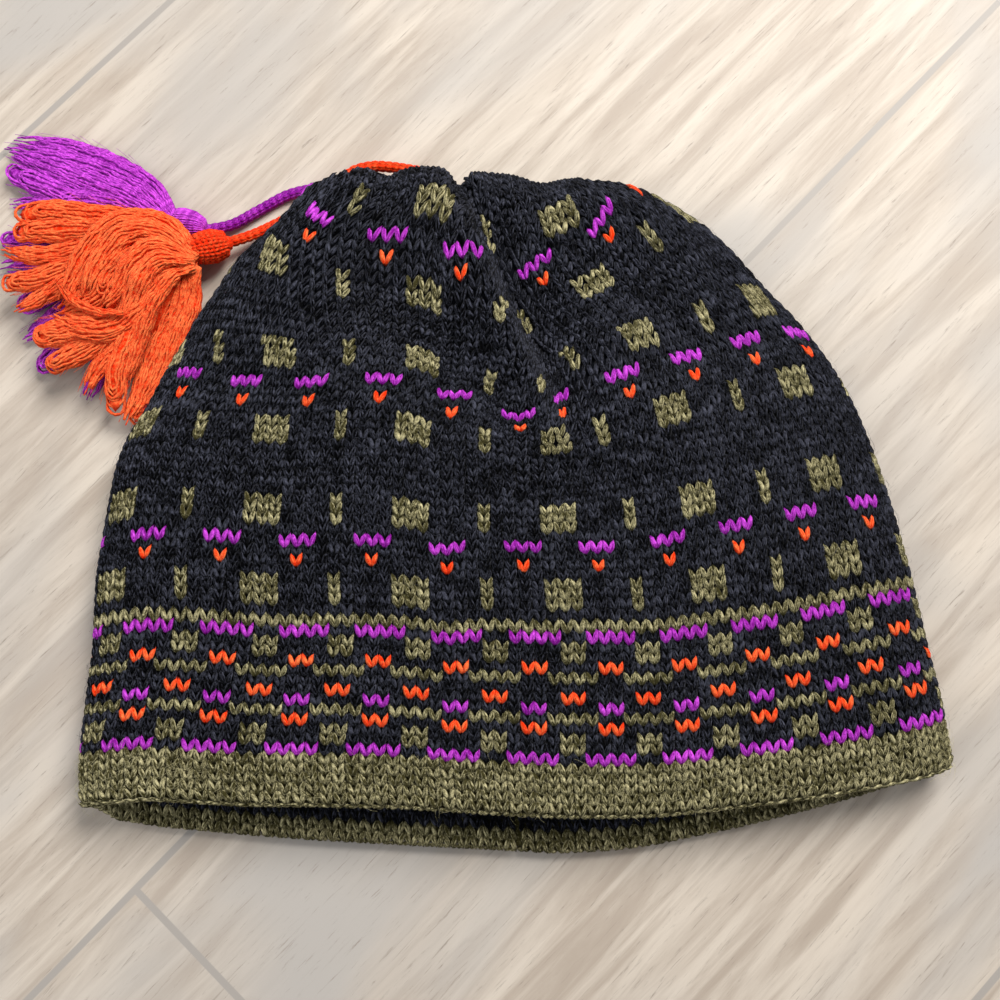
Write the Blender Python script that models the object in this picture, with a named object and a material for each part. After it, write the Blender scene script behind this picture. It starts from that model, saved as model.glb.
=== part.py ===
"""A knitted beanie lying on its back, brim towards -Y, with two cords that end in yarn tassels."""

import bpy
import math

for obj in list(bpy.data.objects):
    bpy.data.objects.remove(obj, do_unlink=True)

# Driving sizes, in metres.
WIDTH = 0.250
LENGTH = 0.205
LOFT = 0.036
CROWN_WALL = 0.003
HEM_WALL = 0.005
HEM_SHARE = 0.078
FIT_GAP = 0.0003
CORD_DIAMETER = 0.003
TASSEL_LENGTH = 0.058

HALF_WIDTH = WIDTH / 2
HALF_LENGTH = LENGTH / 2
CLOTH_RUN = 0.92 * LENGTH

# Heights of the rolled edges above the floor, and the reach of each roll inwards.
SIDE_EDGE_HEIGHT = 0.236 * LOFT
TOP_EDGE_HEIGHT = 0.375 * LOFT
SIDE_ROLL_OVER = 0.136 * HALF_WIDTH
SIDE_ROLL_UNDER = 0.064 * HALF_WIDTH
TOP_ROLL_OVER = 0.073 * LENGTH
TOP_ROLL_UNDER = 0.127 * LENGTH
SIDE_CLOTH_HEIGHT = 0.42 * LOFT
LOFT_FULLNESS = 2.2
TOP_BLEND_START = 0.80

# Spans that round the corners of the tables, each in the units of its table's first column.
SIDE_ROUNDING = 0.015
TOP_ROUNDING = 0.020
MOUTH_ROUNDING = 0.030
LOFT_ROUNDING = 0.050
OUTLINE_SPAN = 0.040

# Side outline: share of the length, then the left and right reach as shares of half the width.
SIDE_OUTLINE = (
    (0.068, -0.992, 0.985),
    (0.125, -1.000, 1.004),
    (0.214, -0.990, 0.985),
    (0.298, -0.981, 0.957),
    (0.390, -0.981, 0.931),
    (0.469, -0.966, 0.902),
    (0.543, -0.950, 0.870),
    (0.590, -0.926, 0.845),
    (0.635, -0.882, 0.817),
    (0.684, -0.845, 0.781),
    (0.722, -0.811, 0.739),
    (0.768, -0.773, 0.685),
    (0.814, -0.725, 0.613),
    (0.858, -0.684, 0.550),
    (0.898, -0.620, 0.480),
    (0.931, -0.566, 0.402),
    (0.960, -0.530, 0.330),
    (0.980, -0.490, 0.290),
)
LEFT_RUN = (0.068, 0.968)
RIGHT_RUN = (0.120, 0.953)

# Mouth edge: share across, then the front and back edge as shares of the length.
MOUTH_EDGE = (
    (-1.00, 0.068, 0.068),
    (-0.95, 0.074, 0.046),
    (-0.84, 0.080, 0.036),
    (-0.62, 0.073, 0.024),
    (-0.48, 0.073, 0.018),
    (-0.26, 0.070, 0.011),
    (-0.03, 0.061, 0.004),
    (0.10, 0.057, 0.000),
    (0.23, 0.057, 0.004),
    (0.33, 0.059, 0.012),
    (0.53, 0.072, 0.036),
    (0.69, 0.084, 0.059),
    (0.81, 0.096, 0.078),
    (0.93, 0.109, 0.100),
    (1.00, 0.120, 0.120),
)

# Top edge without its gathers: share across, share of the length.
TOP_EDGE = (
    (-0.490, 0.968),
    (-0.463, 0.978),
    (-0.427, 0.990),
    (-0.380, 0.995),
    (-0.230, 0.992),
    (-0.100, 0.985),
    (0.050, 0.976),
    (0.200, 0.972),
    (0.250, 0.963),
    (0.290, 0.948),
)

# Height of the cloth along the middle: share of the length, share of the loft.
LOFT_RUN = (
    (0.00, 0.44),
    (0.06, 0.47),
    (0.13, 0.56),
    (0.25, 0.69),
    (0.40, 0.85),
    (0.55, 0.96),
    (0.68, 1.00),
    (0.80, 0.94),
    (0.90, 0.84),
    (1.00, 0.72),
)

# Gathers over the top edge: share across, depth as a share of the loft, half width as a share of
# half the width, run down the front as a share of the length, lean to the right.
GATHERS = (
    (-0.400, 0.017, 0.028, 0.068, -0.50),
    (-0.304, 0.061, 0.038, 0.098, 0.10),
    (-0.150, 0.117, 0.019, 0.078, 0.40),
    (0.030, 0.056, 0.044, 0.107, 0.45),
)
GATHER_HEIGHT = 1.1
GATHER_SPREAD = 0.15

# The deep pleat from the top edge: share across, share of the length, then the ridge height and
# the valley depth as shares of the loft.
PLEAT = (
    (-0.150, 0.975, 0.033, 0.083),
    (-0.096, 0.890, 0.072, 0.208),
    (-0.034, 0.781, 0.111, 0.319),
    (0.017, 0.706, 0.111, 0.292),
    (0.068, 0.637, 0.078, 0.181),
    (0.125, 0.550, 0.000, 0.000),
)
PLEAT_RIDGE_WIDTH = 0.112 * HALF_WIDTH
PLEAT_VALLEY_WIDTH = 0.136 * HALF_WIDTH
PLEAT_STEP = 0.040 * HALF_WIDTH

# Soft dents: start and end as shares across and along, depth as a share of the loft, half width
# as a share of half the width.
DENTS = (
    (-0.290, 0.780, -0.130, 0.650, 0.167, 0.120),
    (0.150, 0.820, 0.340, 0.735, 0.111, 0.120),
    (-0.640, 0.640, -0.480, 0.560, 0.056, 0.112),
    (0.250, 0.600, 0.560, 0.520, -0.033, 0.144),
)

# Mesh counts across the sheet and along it.
ACROSS = 48
CROWN_OUTER_ROWS = 26
CROWN_INNER_ROWS = 14
EDGE_CROWDING = 1.45
TOP_CROWDING = 0.55

# Rows of the brim up from its rounded edge, in hem walls.
HEM_DEPTHS = (0.08, 0.26, 0.56, 1.40)


def reading(table, key, column, blur=0.0):
    """One column of a table at a key, averaged over a short span to round its corners."""
    steps = (-1.0, -0.5, 0.0, 0.5, 1.0) if blur > 0 else (0.0,)
    total = 0.0
    for step in steps:
        place = min(max(key + blur * step, table[0][0]), table[-1][0])
        for low, high in zip(table, table[1:]):
            if place <= high[0]:
                share = (place - low[0]) / (high[0] - low[0])
                total += low[column] + (high[column] - low[column]) * share
                break
    return total / len(steps)


def dome(share):
    """Quarter circle: 0 at the edge, 1 where the roll ends."""
    share = min(max(share, 0.0), 1.0)
    return math.sqrt(1.0 - (1.0 - share) ** 2)


def bell(distance, half):
    return math.exp(-((distance / half) ** 2))


def blend(value, low, high):
    share = min(max((value - low) / (high - low), 0.0), 1.0)
    return share * share * (3 - 2 * share)


def side_point(t, column, inset=0.0):
    run = LEFT_RUN if column == 1 else RIGHT_RUN
    share = run[0] + (run[1] - run[0]) * t
    reach = reading(SIDE_OUTLINE, share, column, SIDE_ROUNDING)
    inwards = inset if column == 1 else -inset
    return reach * HALF_WIDTH + inwards, share * LENGTH - HALF_LENGTH


def top_point(a, inset=0.0):
    across = TOP_EDGE[0][0] + (TOP_EDGE[-1][0] - TOP_EDGE[0][0]) * (a + 1) / 2
    x = across * HALF_WIDTH
    y = reading(TOP_EDGE, across, 1, TOP_ROUNDING) * LENGTH - HALF_LENGTH
    for place, depth, half, _, _ in GATHERS:
        y -= depth * LOFT * bell(across - place, half)
    return x - inset * a, y - inset


def mouth_point(a, front):
    share = reading(MOUTH_EDGE, a, 1 if front else 2, MOUTH_ROUNDING * (1 - abs(a)))
    left = side_point(0.0, 1)
    right = side_point(0.0, 2)
    return left[0] + (right[0] - left[0]) * (a + 1) / 2, share * LENGTH - HALF_LENGTH


def plan_point(a, t, front, inset=0.0):
    """Point in plan: a runs across from -1 to 1, t from the mouth to the top edge."""
    b = (a + 1) / 2
    left = side_point(t, 1, inset)
    right = side_point(t, 2, inset)
    low = mouth_point(a, front)
    high = top_point(a, inset)
    low_left = mouth_point(-1.0, front)
    low_right = mouth_point(1.0, front)
    high_left = top_point(-1.0, inset)
    high_right = top_point(1.0, inset)
    point = []
    for axis in range(2):
        value = (1 - b) * left[axis] + b * right[axis]
        value += (1 - t) * low[axis] + t * high[axis]
        value -= (1 - t) * ((1 - b) * low_left[axis] + b * low_right[axis])
        value -= t * ((1 - b) * high_left[axis] + b * high_right[axis])
        point.append(value)
    return point


def edge_distance(point, t, column):
    """Distance from a point to the side outline beside it, square to that outline."""
    here = side_point(t, column)
    above = side_point(min(t + OUTLINE_SPAN, 1.0), column)
    below = side_point(max(t - OUTLINE_SPAN, 0.0), column)
    along = (above[0] - below[0], above[1] - below[1])
    length = math.hypot(along[0], along[1])
    cross = (point[0] - here[0]) * along[1] - (point[1] - here[1]) * along[0]
    return abs(cross) / length


def pleat_height(x, y):
    """Ridge on the left of the pleat line and valley on its right."""
    best = None
    for start, end in zip(PLEAT, PLEAT[1:]):
        x0, y0 = start[0] * HALF_WIDTH, start[1] * LENGTH - HALF_LENGTH
        x1, y1 = end[0] * HALF_WIDTH, end[1] * LENGTH - HALF_LENGTH
        dx, dy = x1 - x0, y1 - y0
        share = ((x - x0) * dx + (y - y0) * dy) / (dx * dx + dy * dy)
        share = min(max(share, 0.0), 1.0)
        gap = math.hypot(x - x0 - share * dx, y - y0 - share * dy)
        if best is None or gap < best[0]:
            side = 1.0 if dx * (y - y0) - dy * (x - x0) > 0 else -1.0
            ridge = start[2] + (end[2] - start[2]) * share
            valley = start[3] + (end[3] - start[3]) * share
            best = (gap, side * gap, ridge, valley)
    gap, signed, ridge, valley = best
    right_side = 1 / (1 + math.exp(-signed / (PLEAT_STEP / 2)))
    lift = ridge * bell(gap, PLEAT_RIDGE_WIDTH) * (1 - right_side)
    return LOFT * (lift - valley * bell(gap, PLEAT_VALLEY_WIDTH) * right_side)


def fold_height(x, y, top_gap):
    """All folds of the front sheet together."""
    height = pleat_height(x, y)
    for x0, y0, x1, y1, depth, half in DENTS:
        ax, ay = x0 * HALF_WIDTH, y0 * LENGTH - HALF_LENGTH
        dx, dy = x1 * HALF_WIDTH - ax, y1 * LENGTH - HALF_LENGTH - ay
        share = ((x - ax) * dx + (y - ay) * dy) / (dx * dx + dy * dy)
        share = min(max(share, 0.0), 1.0)
        gap = math.hypot(x - ax - share * dx, y - ay - share * dy)
        height -= depth * LOFT * bell(gap, half * HALF_WIDTH)
    for place, depth, half, run, lean in GATHERS:
        middle = place * HALF_WIDTH + lean * top_gap
        spread = half * HALF_WIDTH + GATHER_SPREAD * top_gap
        fade = bell(top_gap, run * LENGTH)
        height -= GATHER_HEIGHT * depth * LOFT * bell(x - middle, spread) * fade
    return height


def sheet_point(a, t, front, inset=0.0):
    """Point of the hat's surface, or of the layer at a depth of inset under it."""
    x, y = plan_point(a, t, front, inset)
    left_gap = edge_distance((x, y), t, 1)
    right_gap = edge_distance((x, y), t, 2)
    top_gap = max(top_point(a)[1] - y, 0.0)
    at_top = blend(t, TOP_BLEND_START, 1.0)
    middle = SIDE_EDGE_HEIGHT + (TOP_EDGE_HEIGHT - SIDE_EDGE_HEIGHT) * at_top
    side_gap = min(left_gap, right_gap)
    if front:
        share = (y + HALF_LENGTH) / LENGTH
        loft = reading(LOFT_RUN, share, 1, LOFT_ROUNDING) * LOFT
        side = SIDE_CLOTH_HEIGHT + (TOP_EDGE_HEIGHT - SIDE_EDGE_HEIGHT) * at_top
        roof = side + (loft - side) * (1 - abs(a) ** LOFT_FULLNESS) + fold_height(x, y, top_gap)
        rise = dome((side_gap - inset) / (SIDE_ROLL_OVER - inset))
        rise *= dome((top_gap - inset) / (TOP_ROLL_OVER - inset))
        return x, y, middle + (roof - inset - middle) * rise
    fall = dome((side_gap - inset) / (SIDE_ROLL_UNDER - inset))
    fall *= dome((top_gap - inset) / (TOP_ROLL_UNDER - inset))
    return x, y, inset + (middle - inset) * (1 - fall)


def across_shares():
    """Shares across the sheet, closer together near the rolled edges."""
    shares = []
    for i in range(ACROSS + 1):
        even = -1 + 2 * i / ACROSS
        shares.append(math.copysign(1 - (1 - abs(even)) ** EDGE_CROWDING, even))
    return shares


SHARES = across_shares()
LOOP_PLACES = [(a, True) for a in SHARES] + [(a, False) for a in reversed(SHARES[1:-1])]


def loop(t, inset):
    """Closed ring of surface points: over the front sheet, back under the back sheet."""
    return [sheet_point(a, t, front, inset) for a, front in LOOP_PLACES]


def make_object(name, points, faces, color):
    mesh = bpy.data.meshes.new(name)
    mesh.from_pydata(points, [], faces)
    mesh.validate()
    for polygon in mesh.polygons:
        polygon.use_smooth = True
    body = bpy.data.objects.new(name, mesh)
    bpy.context.collection.objects.link(body)
    give_material(body, color)
    return body


def give_material(body, color):
    material = bpy.data.materials.new(body.name + "_yarn")
    material.use_nodes = True
    shader = material.node_tree.nodes["Principled BSDF"]
    shader.inputs["Base Color"].default_value = (*color, 1.0)
    shader.inputs["Roughness"].default_value = 0.9
    shader.inputs["Metallic"].default_value = 0.0
    body.data.materials.append(material)


def bridge(first, second, count, flip=False):
    """Quads between two rings of the same count that start at the given indices."""
    quads = []
    for i in range(count):
        j = (i + 1) % count
        quad = (first + i, first + j, second + j, second + i)
        quads.append(tuple(reversed(quad)) if flip else quad)
    return quads


RING = len(LOOP_PLACES)


def close_top(ring_start, seam_start, flip):
    """Faces from the last ring to the seam where the two sheets meet along the top edge."""
    quads = []
    seam = [seam_start + i for i in range(ACROSS + 1)]
    seam += [seam_start + i for i in range(ACROSS - 1, 0, -1)]
    for i in range(RING):
        j = (i + 1) % RING
        quad = (ring_start + i, ring_start + j, seam[j], seam[i])
        quads.append(tuple(reversed(quad)) if flip else quad)
    return quads


def row_shares(count, start):
    """Shares from the hem to the top edge, closer together near the top roll."""
    rows = []
    for i in range(count + 1):
        even = i / count
        crowded = (1 - TOP_CROWDING) * even + TOP_CROWDING * math.sin(math.pi / 2 * even)
        rows.append(start + (1 - start) * crowded)
    return rows


def make_crown():
    start = HEM_SHARE + 2 * FIT_GAP / CLOTH_RUN
    points = []
    faces = []
    outer_rows = row_shares(CROWN_OUTER_ROWS, start)
    inner_rows = row_shares(CROWN_INNER_ROWS, start)
    for rows, inset, flip in ((outer_rows, 0.0, False), (inner_rows, CROWN_WALL, True)):
        first = len(points)
        for row, t in enumerate(rows[:-1]):
            points += loop(t, inset)
            if row:
                faces += bridge(first + (row - 1) * RING, first + row * RING, RING, flip)
        last = len(points) - RING
        seam = len(points)
        points += [sheet_point(a, 1.0, True, inset) for a in SHARES]
        faces += close_top(last, seam, flip)
        if flip:
            faces += bridge(0, first, RING, True)
    return make_object("crown", points, faces, (0.035, 0.038, 0.050))


def make_brim():
    radius = HEM_WALL / 2
    top = HEM_SHARE * CLOTH_RUN
    depths = [depth * HEM_WALL for depth in HEM_DEPTHS] + [top]
    layers = [(0.0, radius)]
    for depth in depths:
        layers.append((depth, radius - math.sqrt(max(radius**2 - max(radius - depth, 0.0) ** 2, 0.0))))
    inner = [(depth, HEM_WALL - inset) for depth, inset in layers[1:]]
    section = layers + [(top, CROWN_WALL)] + inner[::-1]
    points = []
    faces = []
    for row, (depth, inset) in enumerate(section):
        points += loop(depth / CLOTH_RUN, inset)
        if row:
            faces += bridge((row - 1) * RING, row * RING, RING)
    faces += bridge((len(section) - 1) * RING, 0, RING)
    return make_object("brim", points, faces, (0.155, 0.140, 0.055))


CURVE_STEPS = 12
CORD_POINT_SPACING = 2.2 * CORD_DIAMETER


def smooth_route(route, spacing):
    """Evenly spaced points on a smooth curve through the route points."""
    ends = [tuple(2 * a - b for a, b in zip(route[0], route[1]))]
    ends += list(route)
    ends.append(tuple(2 * a - b for a, b in zip(route[-1], route[-2])))
    fine = []
    for i in range(1, len(ends) - 2):
        p0, p1, p2, p3 = ends[i - 1], ends[i], ends[i + 1], ends[i + 2]
        for k in range(CURVE_STEPS):
            u = k / CURVE_STEPS
            point = []
            for a, b, c, d in zip(p0, p1, p2, p3):
                bend = (2 * a - 5 * b + 4 * c - d) * u**2 + (3 * b - a - 3 * c + d) * u**3
                point.append(0.5 * (2 * b + (c - a) * u + bend))
            fine.append(tuple(point))
    fine.append(tuple(route[-1]))
    lengths = [0.0]
    for a, b in zip(fine, fine[1:]):
        lengths.append(lengths[-1] + math.dist(a, b))
    count = max(round(lengths[-1] / spacing), 2)
    points = []
    for i in range(count + 1):
        target = lengths[-1] * i / count
        k = 0
        while k < len(fine) - 2 and lengths[k + 1] < target:
            k += 1
        share = (target - lengths[k]) / max(lengths[k + 1] - lengths[k], 1e-9)
        points.append(tuple(a + (b - a) * share for a, b in zip(fine[k], fine[k + 1])))
    return points


def placed(point):
    """A place in shares of half the width, half the length and the cord's diameter."""
    return point[0] * HALF_WIDTH, point[1] * HALF_LENGTH, point[2] * CORD_DIAMETER


def make_cord(name, route, color):
    points = smooth_route([placed(point) for point in route], CORD_POINT_SPACING)
    curve = bpy.data.curves.new(name, "CURVE")
    curve.dimensions = "3D"
    curve.bevel_depth = CORD_DIAMETER / 2
    curve.bevel_resolution = 2
    curve.use_fill_caps = True
    line = curve.splines.new("POLY")
    line.points.add(len(points) - 1)
    for place, point in zip(line.points, points):
        place.co = (*point, 1.0)
    line.use_smooth = True
    body = bpy.data.objects.new(name, curve)
    bpy.context.collection.objects.link(body)
    give_material(body, color)
    return body


# Routes of the cords from the gather behind the top edge to the tassel heads: shares of half the
# width and of half the length, then the height in cord diameters.
VIOLET_ROUTE = (
    (-0.240, 0.971, 1.00),
    (-0.292, 0.966, 0.53),
    (-0.376, 0.971, 0.53),
    (-0.464, 0.980, 0.53),
    (-0.560, 0.961, 0.53),
    (-0.640, 0.907, 0.60),
    (-0.704, 0.859, 0.80),
    (-0.760, 0.837, 1.20),
)
ORANGE_ROUTE = (
    (-0.240, 1.010, 2.27),
    (-0.296, 1.026, 1.93),
    (-0.352, 1.032, 1.80),
    (-0.404, 1.015, 1.77),
    (-0.436, 0.974, 1.70),
    (-0.472, 0.935, 1.07),
    (-0.528, 0.905, 0.57),
    (-0.592, 0.863, 0.73),
    (-0.648, 0.820, 1.33),
    (-0.704, 0.788, 1.89),
)

VIOLET = (0.280, 0.030, 0.480)
ORANGE = (0.870, 0.115, 0.035)

# Locks of each tassel: bearing at the neck and at the tip in degrees, reach and height as shares
# of the tassel's length, clearance under the lock at the neck and at the tip in cord diameters.
VIOLET_LOCKS = (
    (138.0, 150.0, 0.92, 0.164, 0.33, 0.07),
    (152.0, 157.0, 1.02, 0.224, 0.33, 0.07),
    (168.0, 168.0, 1.00, 0.190, 0.33, 0.07),
    (184.0, 184.0, 0.98, 0.110, 0.27, 0.07),
    (198.0, 202.0, 0.96, 0.103, 0.20, 0.07),
    (210.0, 222.0, 0.96, 0.100, 0.17, 0.07),
    (220.0, 242.0, 0.98, 0.097, 0.17, 0.07),
)
ORANGE_LOCKS = (
    (156.0, 174.0, 0.88, 0.190, 2.67, 2.87),
    (168.0, 183.0, 1.00, 0.241, 2.33, 2.87),
    (183.0, 197.0, 0.98, 0.259, 1.83, 2.87),
    (198.0, 213.0, 0.93, 0.267, 1.50, 2.87),
    (214.0, 232.0, 0.94, 0.259, 1.17, 2.80),
    (230.0, 250.0, 0.92, 0.241, 0.67, 2.40),
    (250.0, 265.0, 0.82, 0.198, 0.33, 0.33),
)

# Sections of a tassel's neck: share along it, share of its radius.
NECK_SECTIONS = (
    (0.00, 0.40),
    (0.12, 0.78),
    (0.45, 1.00),
    (0.80, 0.92),
    (1.00, 0.74),
)

# Neck of each tassel: where the cord enters, heading in degrees, length and radius as shares of
# the tassel's length, height at the locks in cord diameters.
VIOLET_NECK = ((-0.772, 0.831, 1.33), 159.0, 0.164, 0.074, 1.80)
ORANGE_NECK = ((-0.708, 0.785, 1.93), 200.0, 0.172, 0.090, 3.07)

FAN_STEPS = 24
FAN_ROWS = 7
FAN_SWEEP = 1.5
LOCK_NOTCH = 0.17
LOCK_GROOVE = 0.36
LOCK_ROOT = 0.70
LOCK_FULLEST = 0.36
TIP_TAPER = 2.5
TIP_BLUNTNESS = 0.02
CROSSING_SHARE = 0.22
FAN_EDGE = 0.30
NECK_EDGE = 0.08


def lock_reading(locks, share, column):
    place = share * (len(locks) - 1)
    low = min(int(place), len(locks) - 2)
    part = blend(place - low, 0.0, 1.0)
    return locks[low][column] + (locks[low + 1][column] - locks[low][column]) * part


def tassel_line(locks, neck, share):
    """Upper and lower line from the cord to the tip at a share across the tassel."""
    entry, bearing, length_share, radius_share, root_height = neck
    start = placed(entry)
    length = length_share * TASSEL_LENGTH
    radius = radius_share * TASSEL_LENGTH
    heading = math.radians(bearing)
    ahead = (math.cos(heading), math.sin(heading))
    across = (math.sin(heading), -math.cos(heading))
    offset = 1 - 2 * share
    edge = math.sqrt(max(1 - offset**2, 0.0))
    upper = []
    lower = []
    for along, width in NECK_SECTIONS:
        x = start[0] + ahead[0] * along * length + across[0] * offset * radius * width
        y = start[1] + ahead[1] * along * length + across[1] * offset * radius * width
        z = start[2] + (root_height * CORD_DIAMETER - start[2]) * along
        half = radius * width * max(edge, NECK_EDGE)
        upper.append((x, y, z + half))
        lower.append((x, y, z - half))
    between = 1 - abs(math.cos(math.pi * share * (len(locks) - 1)))
    first = math.radians(lock_reading(locks, share, 0))
    last = math.radians(lock_reading(locks, share, 1))
    reach = TASSEL_LENGTH * lock_reading(locks, share, 2) * (1 - LOCK_NOTCH * between)
    height = TASSEL_LENGTH * lock_reading(locks, share, 3)
    root_clearance = CORD_DIAMETER * lock_reading(locks, share, 4)
    tip_clearance = CORD_DIAMETER * lock_reading(locks, share, 5)
    for row in range(1, FAN_ROWS + 1):
        run = row / FAN_ROWS
        angle = first + (last - first) * ((row - 0.5) / FAN_ROWS) ** FAN_SWEEP
        x += math.cos(angle) * reach / FAN_ROWS
        y += math.sin(angle) * reach / FAN_ROWS
        crossed = blend(run, 0.0, CROSSING_SHARE)
        under = root_clearance + (tip_clearance - root_clearance) * crossed
        body = height * (1 - LOCK_GROOVE * between * min(3 * run, 1.0))
        body *= LOCK_ROOT + (1 - LOCK_ROOT) * math.sin(math.pi * min(run / (2 * LOCK_FULLEST), 1.0))
        body *= math.sqrt(1 + TIP_BLUNTNESS - run**TIP_TAPER)
        body *= FAN_EDGE + (1 - FAN_EDGE) * edge
        upper.append((x, y, under + body))
        lower.append((x, y, under))
    return upper, lower


def make_tassel(name, locks, neck, color):
    """Neck and locks as one body: a rounded neck that opens into a fan of fused locks."""
    lines = [tassel_line(locks, neck, f / FAN_STEPS) for f in range(FAN_STEPS + 1)]
    rows = len(lines[0][0])
    points = []
    for layer in range(2):
        for line in lines:
            points += line[layer]
    below = len(lines) * rows
    faces = []
    for f in range(FAN_STEPS):
        for row in range(rows - 1):
            a = f * rows + row
            b = a + rows
            faces.append((a, a + 1, b + 1, b))
            faces.append((below + b, below + b + 1, below + a + 1, below + a))
        base = f * rows
        tip = base + rows - 1
        faces.append((tip, below + tip, below + tip + rows, tip + rows))
        faces.append((base + rows, below + base + rows, below + base, base))
    for row in range(rows - 1):
        last = FAN_STEPS * rows + row
        faces.append((row, below + row, below + row + 1, row + 1))
        faces.append((last, last + 1, below + last + 1, below + last))
    return make_object(name, points, faces, color)


make_crown()
make_brim()
make_cord("violet_cord", VIOLET_ROUTE, VIOLET)
make_cord("orange_cord", ORANGE_ROUTE, ORANGE)
make_tassel("violet_tassel", VIOLET_LOCKS, VIOLET_NECK, VIOLET)
make_tassel("orange_tassel", ORANGE_LOCKS, ORANGE_NECK, ORANGE)
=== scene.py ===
import bpy
import math
import numpy as np
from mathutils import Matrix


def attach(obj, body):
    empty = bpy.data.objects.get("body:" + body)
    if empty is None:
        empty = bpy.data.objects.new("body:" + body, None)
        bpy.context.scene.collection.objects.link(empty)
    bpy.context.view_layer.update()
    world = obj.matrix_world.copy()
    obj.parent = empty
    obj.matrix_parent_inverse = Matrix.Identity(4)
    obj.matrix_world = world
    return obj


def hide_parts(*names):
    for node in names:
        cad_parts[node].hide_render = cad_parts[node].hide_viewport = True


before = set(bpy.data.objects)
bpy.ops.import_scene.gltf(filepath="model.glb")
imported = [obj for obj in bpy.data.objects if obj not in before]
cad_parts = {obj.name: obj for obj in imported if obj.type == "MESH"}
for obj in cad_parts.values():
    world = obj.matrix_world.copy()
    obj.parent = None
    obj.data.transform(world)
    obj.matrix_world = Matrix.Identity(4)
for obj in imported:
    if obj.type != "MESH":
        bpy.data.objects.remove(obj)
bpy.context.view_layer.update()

# The camera looks down on the hat from a little in front of it, as someone who stands over it
# with the brim towards them.
camera_data = bpy.data.cameras.new("camera")
camera_data.lens = 37.8
camera_data.sensor_width = 36.0
camera = bpy.data.objects.new("camera", camera_data)
camera.location = (-0.0043, -0.0436, 0.3169)
camera.rotation_euler = (math.radians(8.0), 0.0, 0.0)
bpy.context.scene.collection.objects.link(camera)
bpy.context.scene.camera = camera

# The floor is pale oak laminate in long planks, matt and warm, on which the hat lies on its back.
FLOOR_SIZE = 4.0
bpy.ops.object.select_all(action="DESELECT")
bpy.ops.mesh.primitive_plane_add(size=FLOOR_SIZE, location=(0.0, 0.0, -0.0002))
floor = bpy.context.active_object
floor.name = "floor"
floor_finish = bpy.data.materials.new("wood_look_floor")
floor_finish.use_nodes = True
floor_tree = floor_finish.node_tree
floor_shader = floor_tree.nodes["Principled BSDF"]
floor_shader.inputs["Roughness"].default_value = 0.6
floor.data.materials.append(floor_finish)


def new_node(tree, kind, **values):
    node = tree.nodes.new(kind)
    for title, value in values.items():
        setattr(node, title, value)
    return node


def noise_of(tree, vector, stretch, scale, detail, roughness):
    """Noise on coordinates stretched along one axis, for grain."""
    stretched = new_node(tree, "ShaderNodeVectorMath", operation="MULTIPLY")
    stretched.inputs[1].default_value = stretch
    tree.links.new(vector, stretched.inputs[0])
    noise = new_node(tree, "ShaderNodeTexNoise")
    noise.inputs["Scale"].default_value = scale
    noise.inputs["Detail"].default_value = detail
    noise.inputs["Roughness"].default_value = roughness
    noise.inputs["Distortion"].default_value = 0.6
    tree.links.new(stretched.outputs[0], noise.inputs["Vector"])
    return noise.outputs["Fac"]


def blend_colors(tree, share, first, second, mode="MIX"):
    """Colour between two others, each a socket or a plain colour."""
    mix = new_node(tree, "ShaderNodeMix", data_type="RGBA", blend_type=mode)
    for socket, value in ((mix.inputs[0], share), (mix.inputs[6], first), (mix.inputs[7], second)):
        if isinstance(value, (tuple, float)):
            socket.default_value = value
        else:
            tree.links.new(value, socket)
    return mix.outputs[2]


def band(tree, value, low, high):
    """0 to 1 as a value goes from low to high."""
    spread = new_node(tree, "ShaderNodeMapRange", interpolation_type="SMOOTHSTEP")
    spread.inputs["From Min"].default_value = low
    spread.inputs["From Max"].default_value = high
    tree.links.new(value, spread.inputs["Value"])
    return spread.outputs["Result"]


PLANK_WIDTH = 0.195
PLANK_LENGTH = 1.2
PLANK_TURN = math.radians(46.0)
floor_place = new_node(floor_tree, "ShaderNodeTexCoord")
floor_turned = new_node(floor_tree, "ShaderNodeMapping", vector_type="TEXTURE")
floor_turned.inputs["Location"].default_value = (-0.110, -0.113, 0.0)
floor_turned.inputs["Rotation"].default_value = (0.0, 0.0, PLANK_TURN)
floor_tree.links.new(floor_place.outputs["Object"], floor_turned.inputs["Vector"])
plank_place = floor_turned.outputs["Vector"]
planks = new_node(floor_tree, "ShaderNodeTexBrick", offset=0.37)
planks.inputs["Scale"].default_value = 1.0
planks.inputs["Brick Width"].default_value = PLANK_LENGTH
planks.inputs["Row Height"].default_value = PLANK_WIDTH
planks.inputs["Mortar Size"].default_value = 0.0012
planks.inputs["Mortar Smooth"].default_value = 0.3
floor_tree.links.new(plank_place, planks.inputs["Vector"])
grain = noise_of(floor_tree, plank_place, (1.2, 14.0, 1.0), 9.0, 9.0, 0.62)
fine_grain = noise_of(floor_tree, plank_place, (12.0, 190.0, 1.0), 6.0, 5.0, 0.75)
clouds = noise_of(floor_tree, plank_place, (1.0, 2.0, 1.0), 7.0, 3.0, 0.5)
grain_color = blend_colors(floor_tree, band(floor_tree, grain, 0.34, 0.66),
                           (0.560, 0.490, 0.412, 1.0), (0.380, 0.315, 0.255, 1.0))
grain_color = blend_colors(floor_tree, band(floor_tree, clouds, 0.42, 0.68), grain_color,
                           (0.410, 0.378, 0.345, 1.0))
grain_color = blend_colors(floor_tree, band(floor_tree, fine_grain, 0.55, 0.75), grain_color,
                           (0.240, 0.200, 0.165, 1.0))
floor_color = blend_colors(floor_tree, planks.outputs["Fac"], grain_color, (0.330, 0.300, 0.270, 1.0))
floor_tree.links.new(floor_color, floor_shader.inputs["Base Color"])

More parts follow.
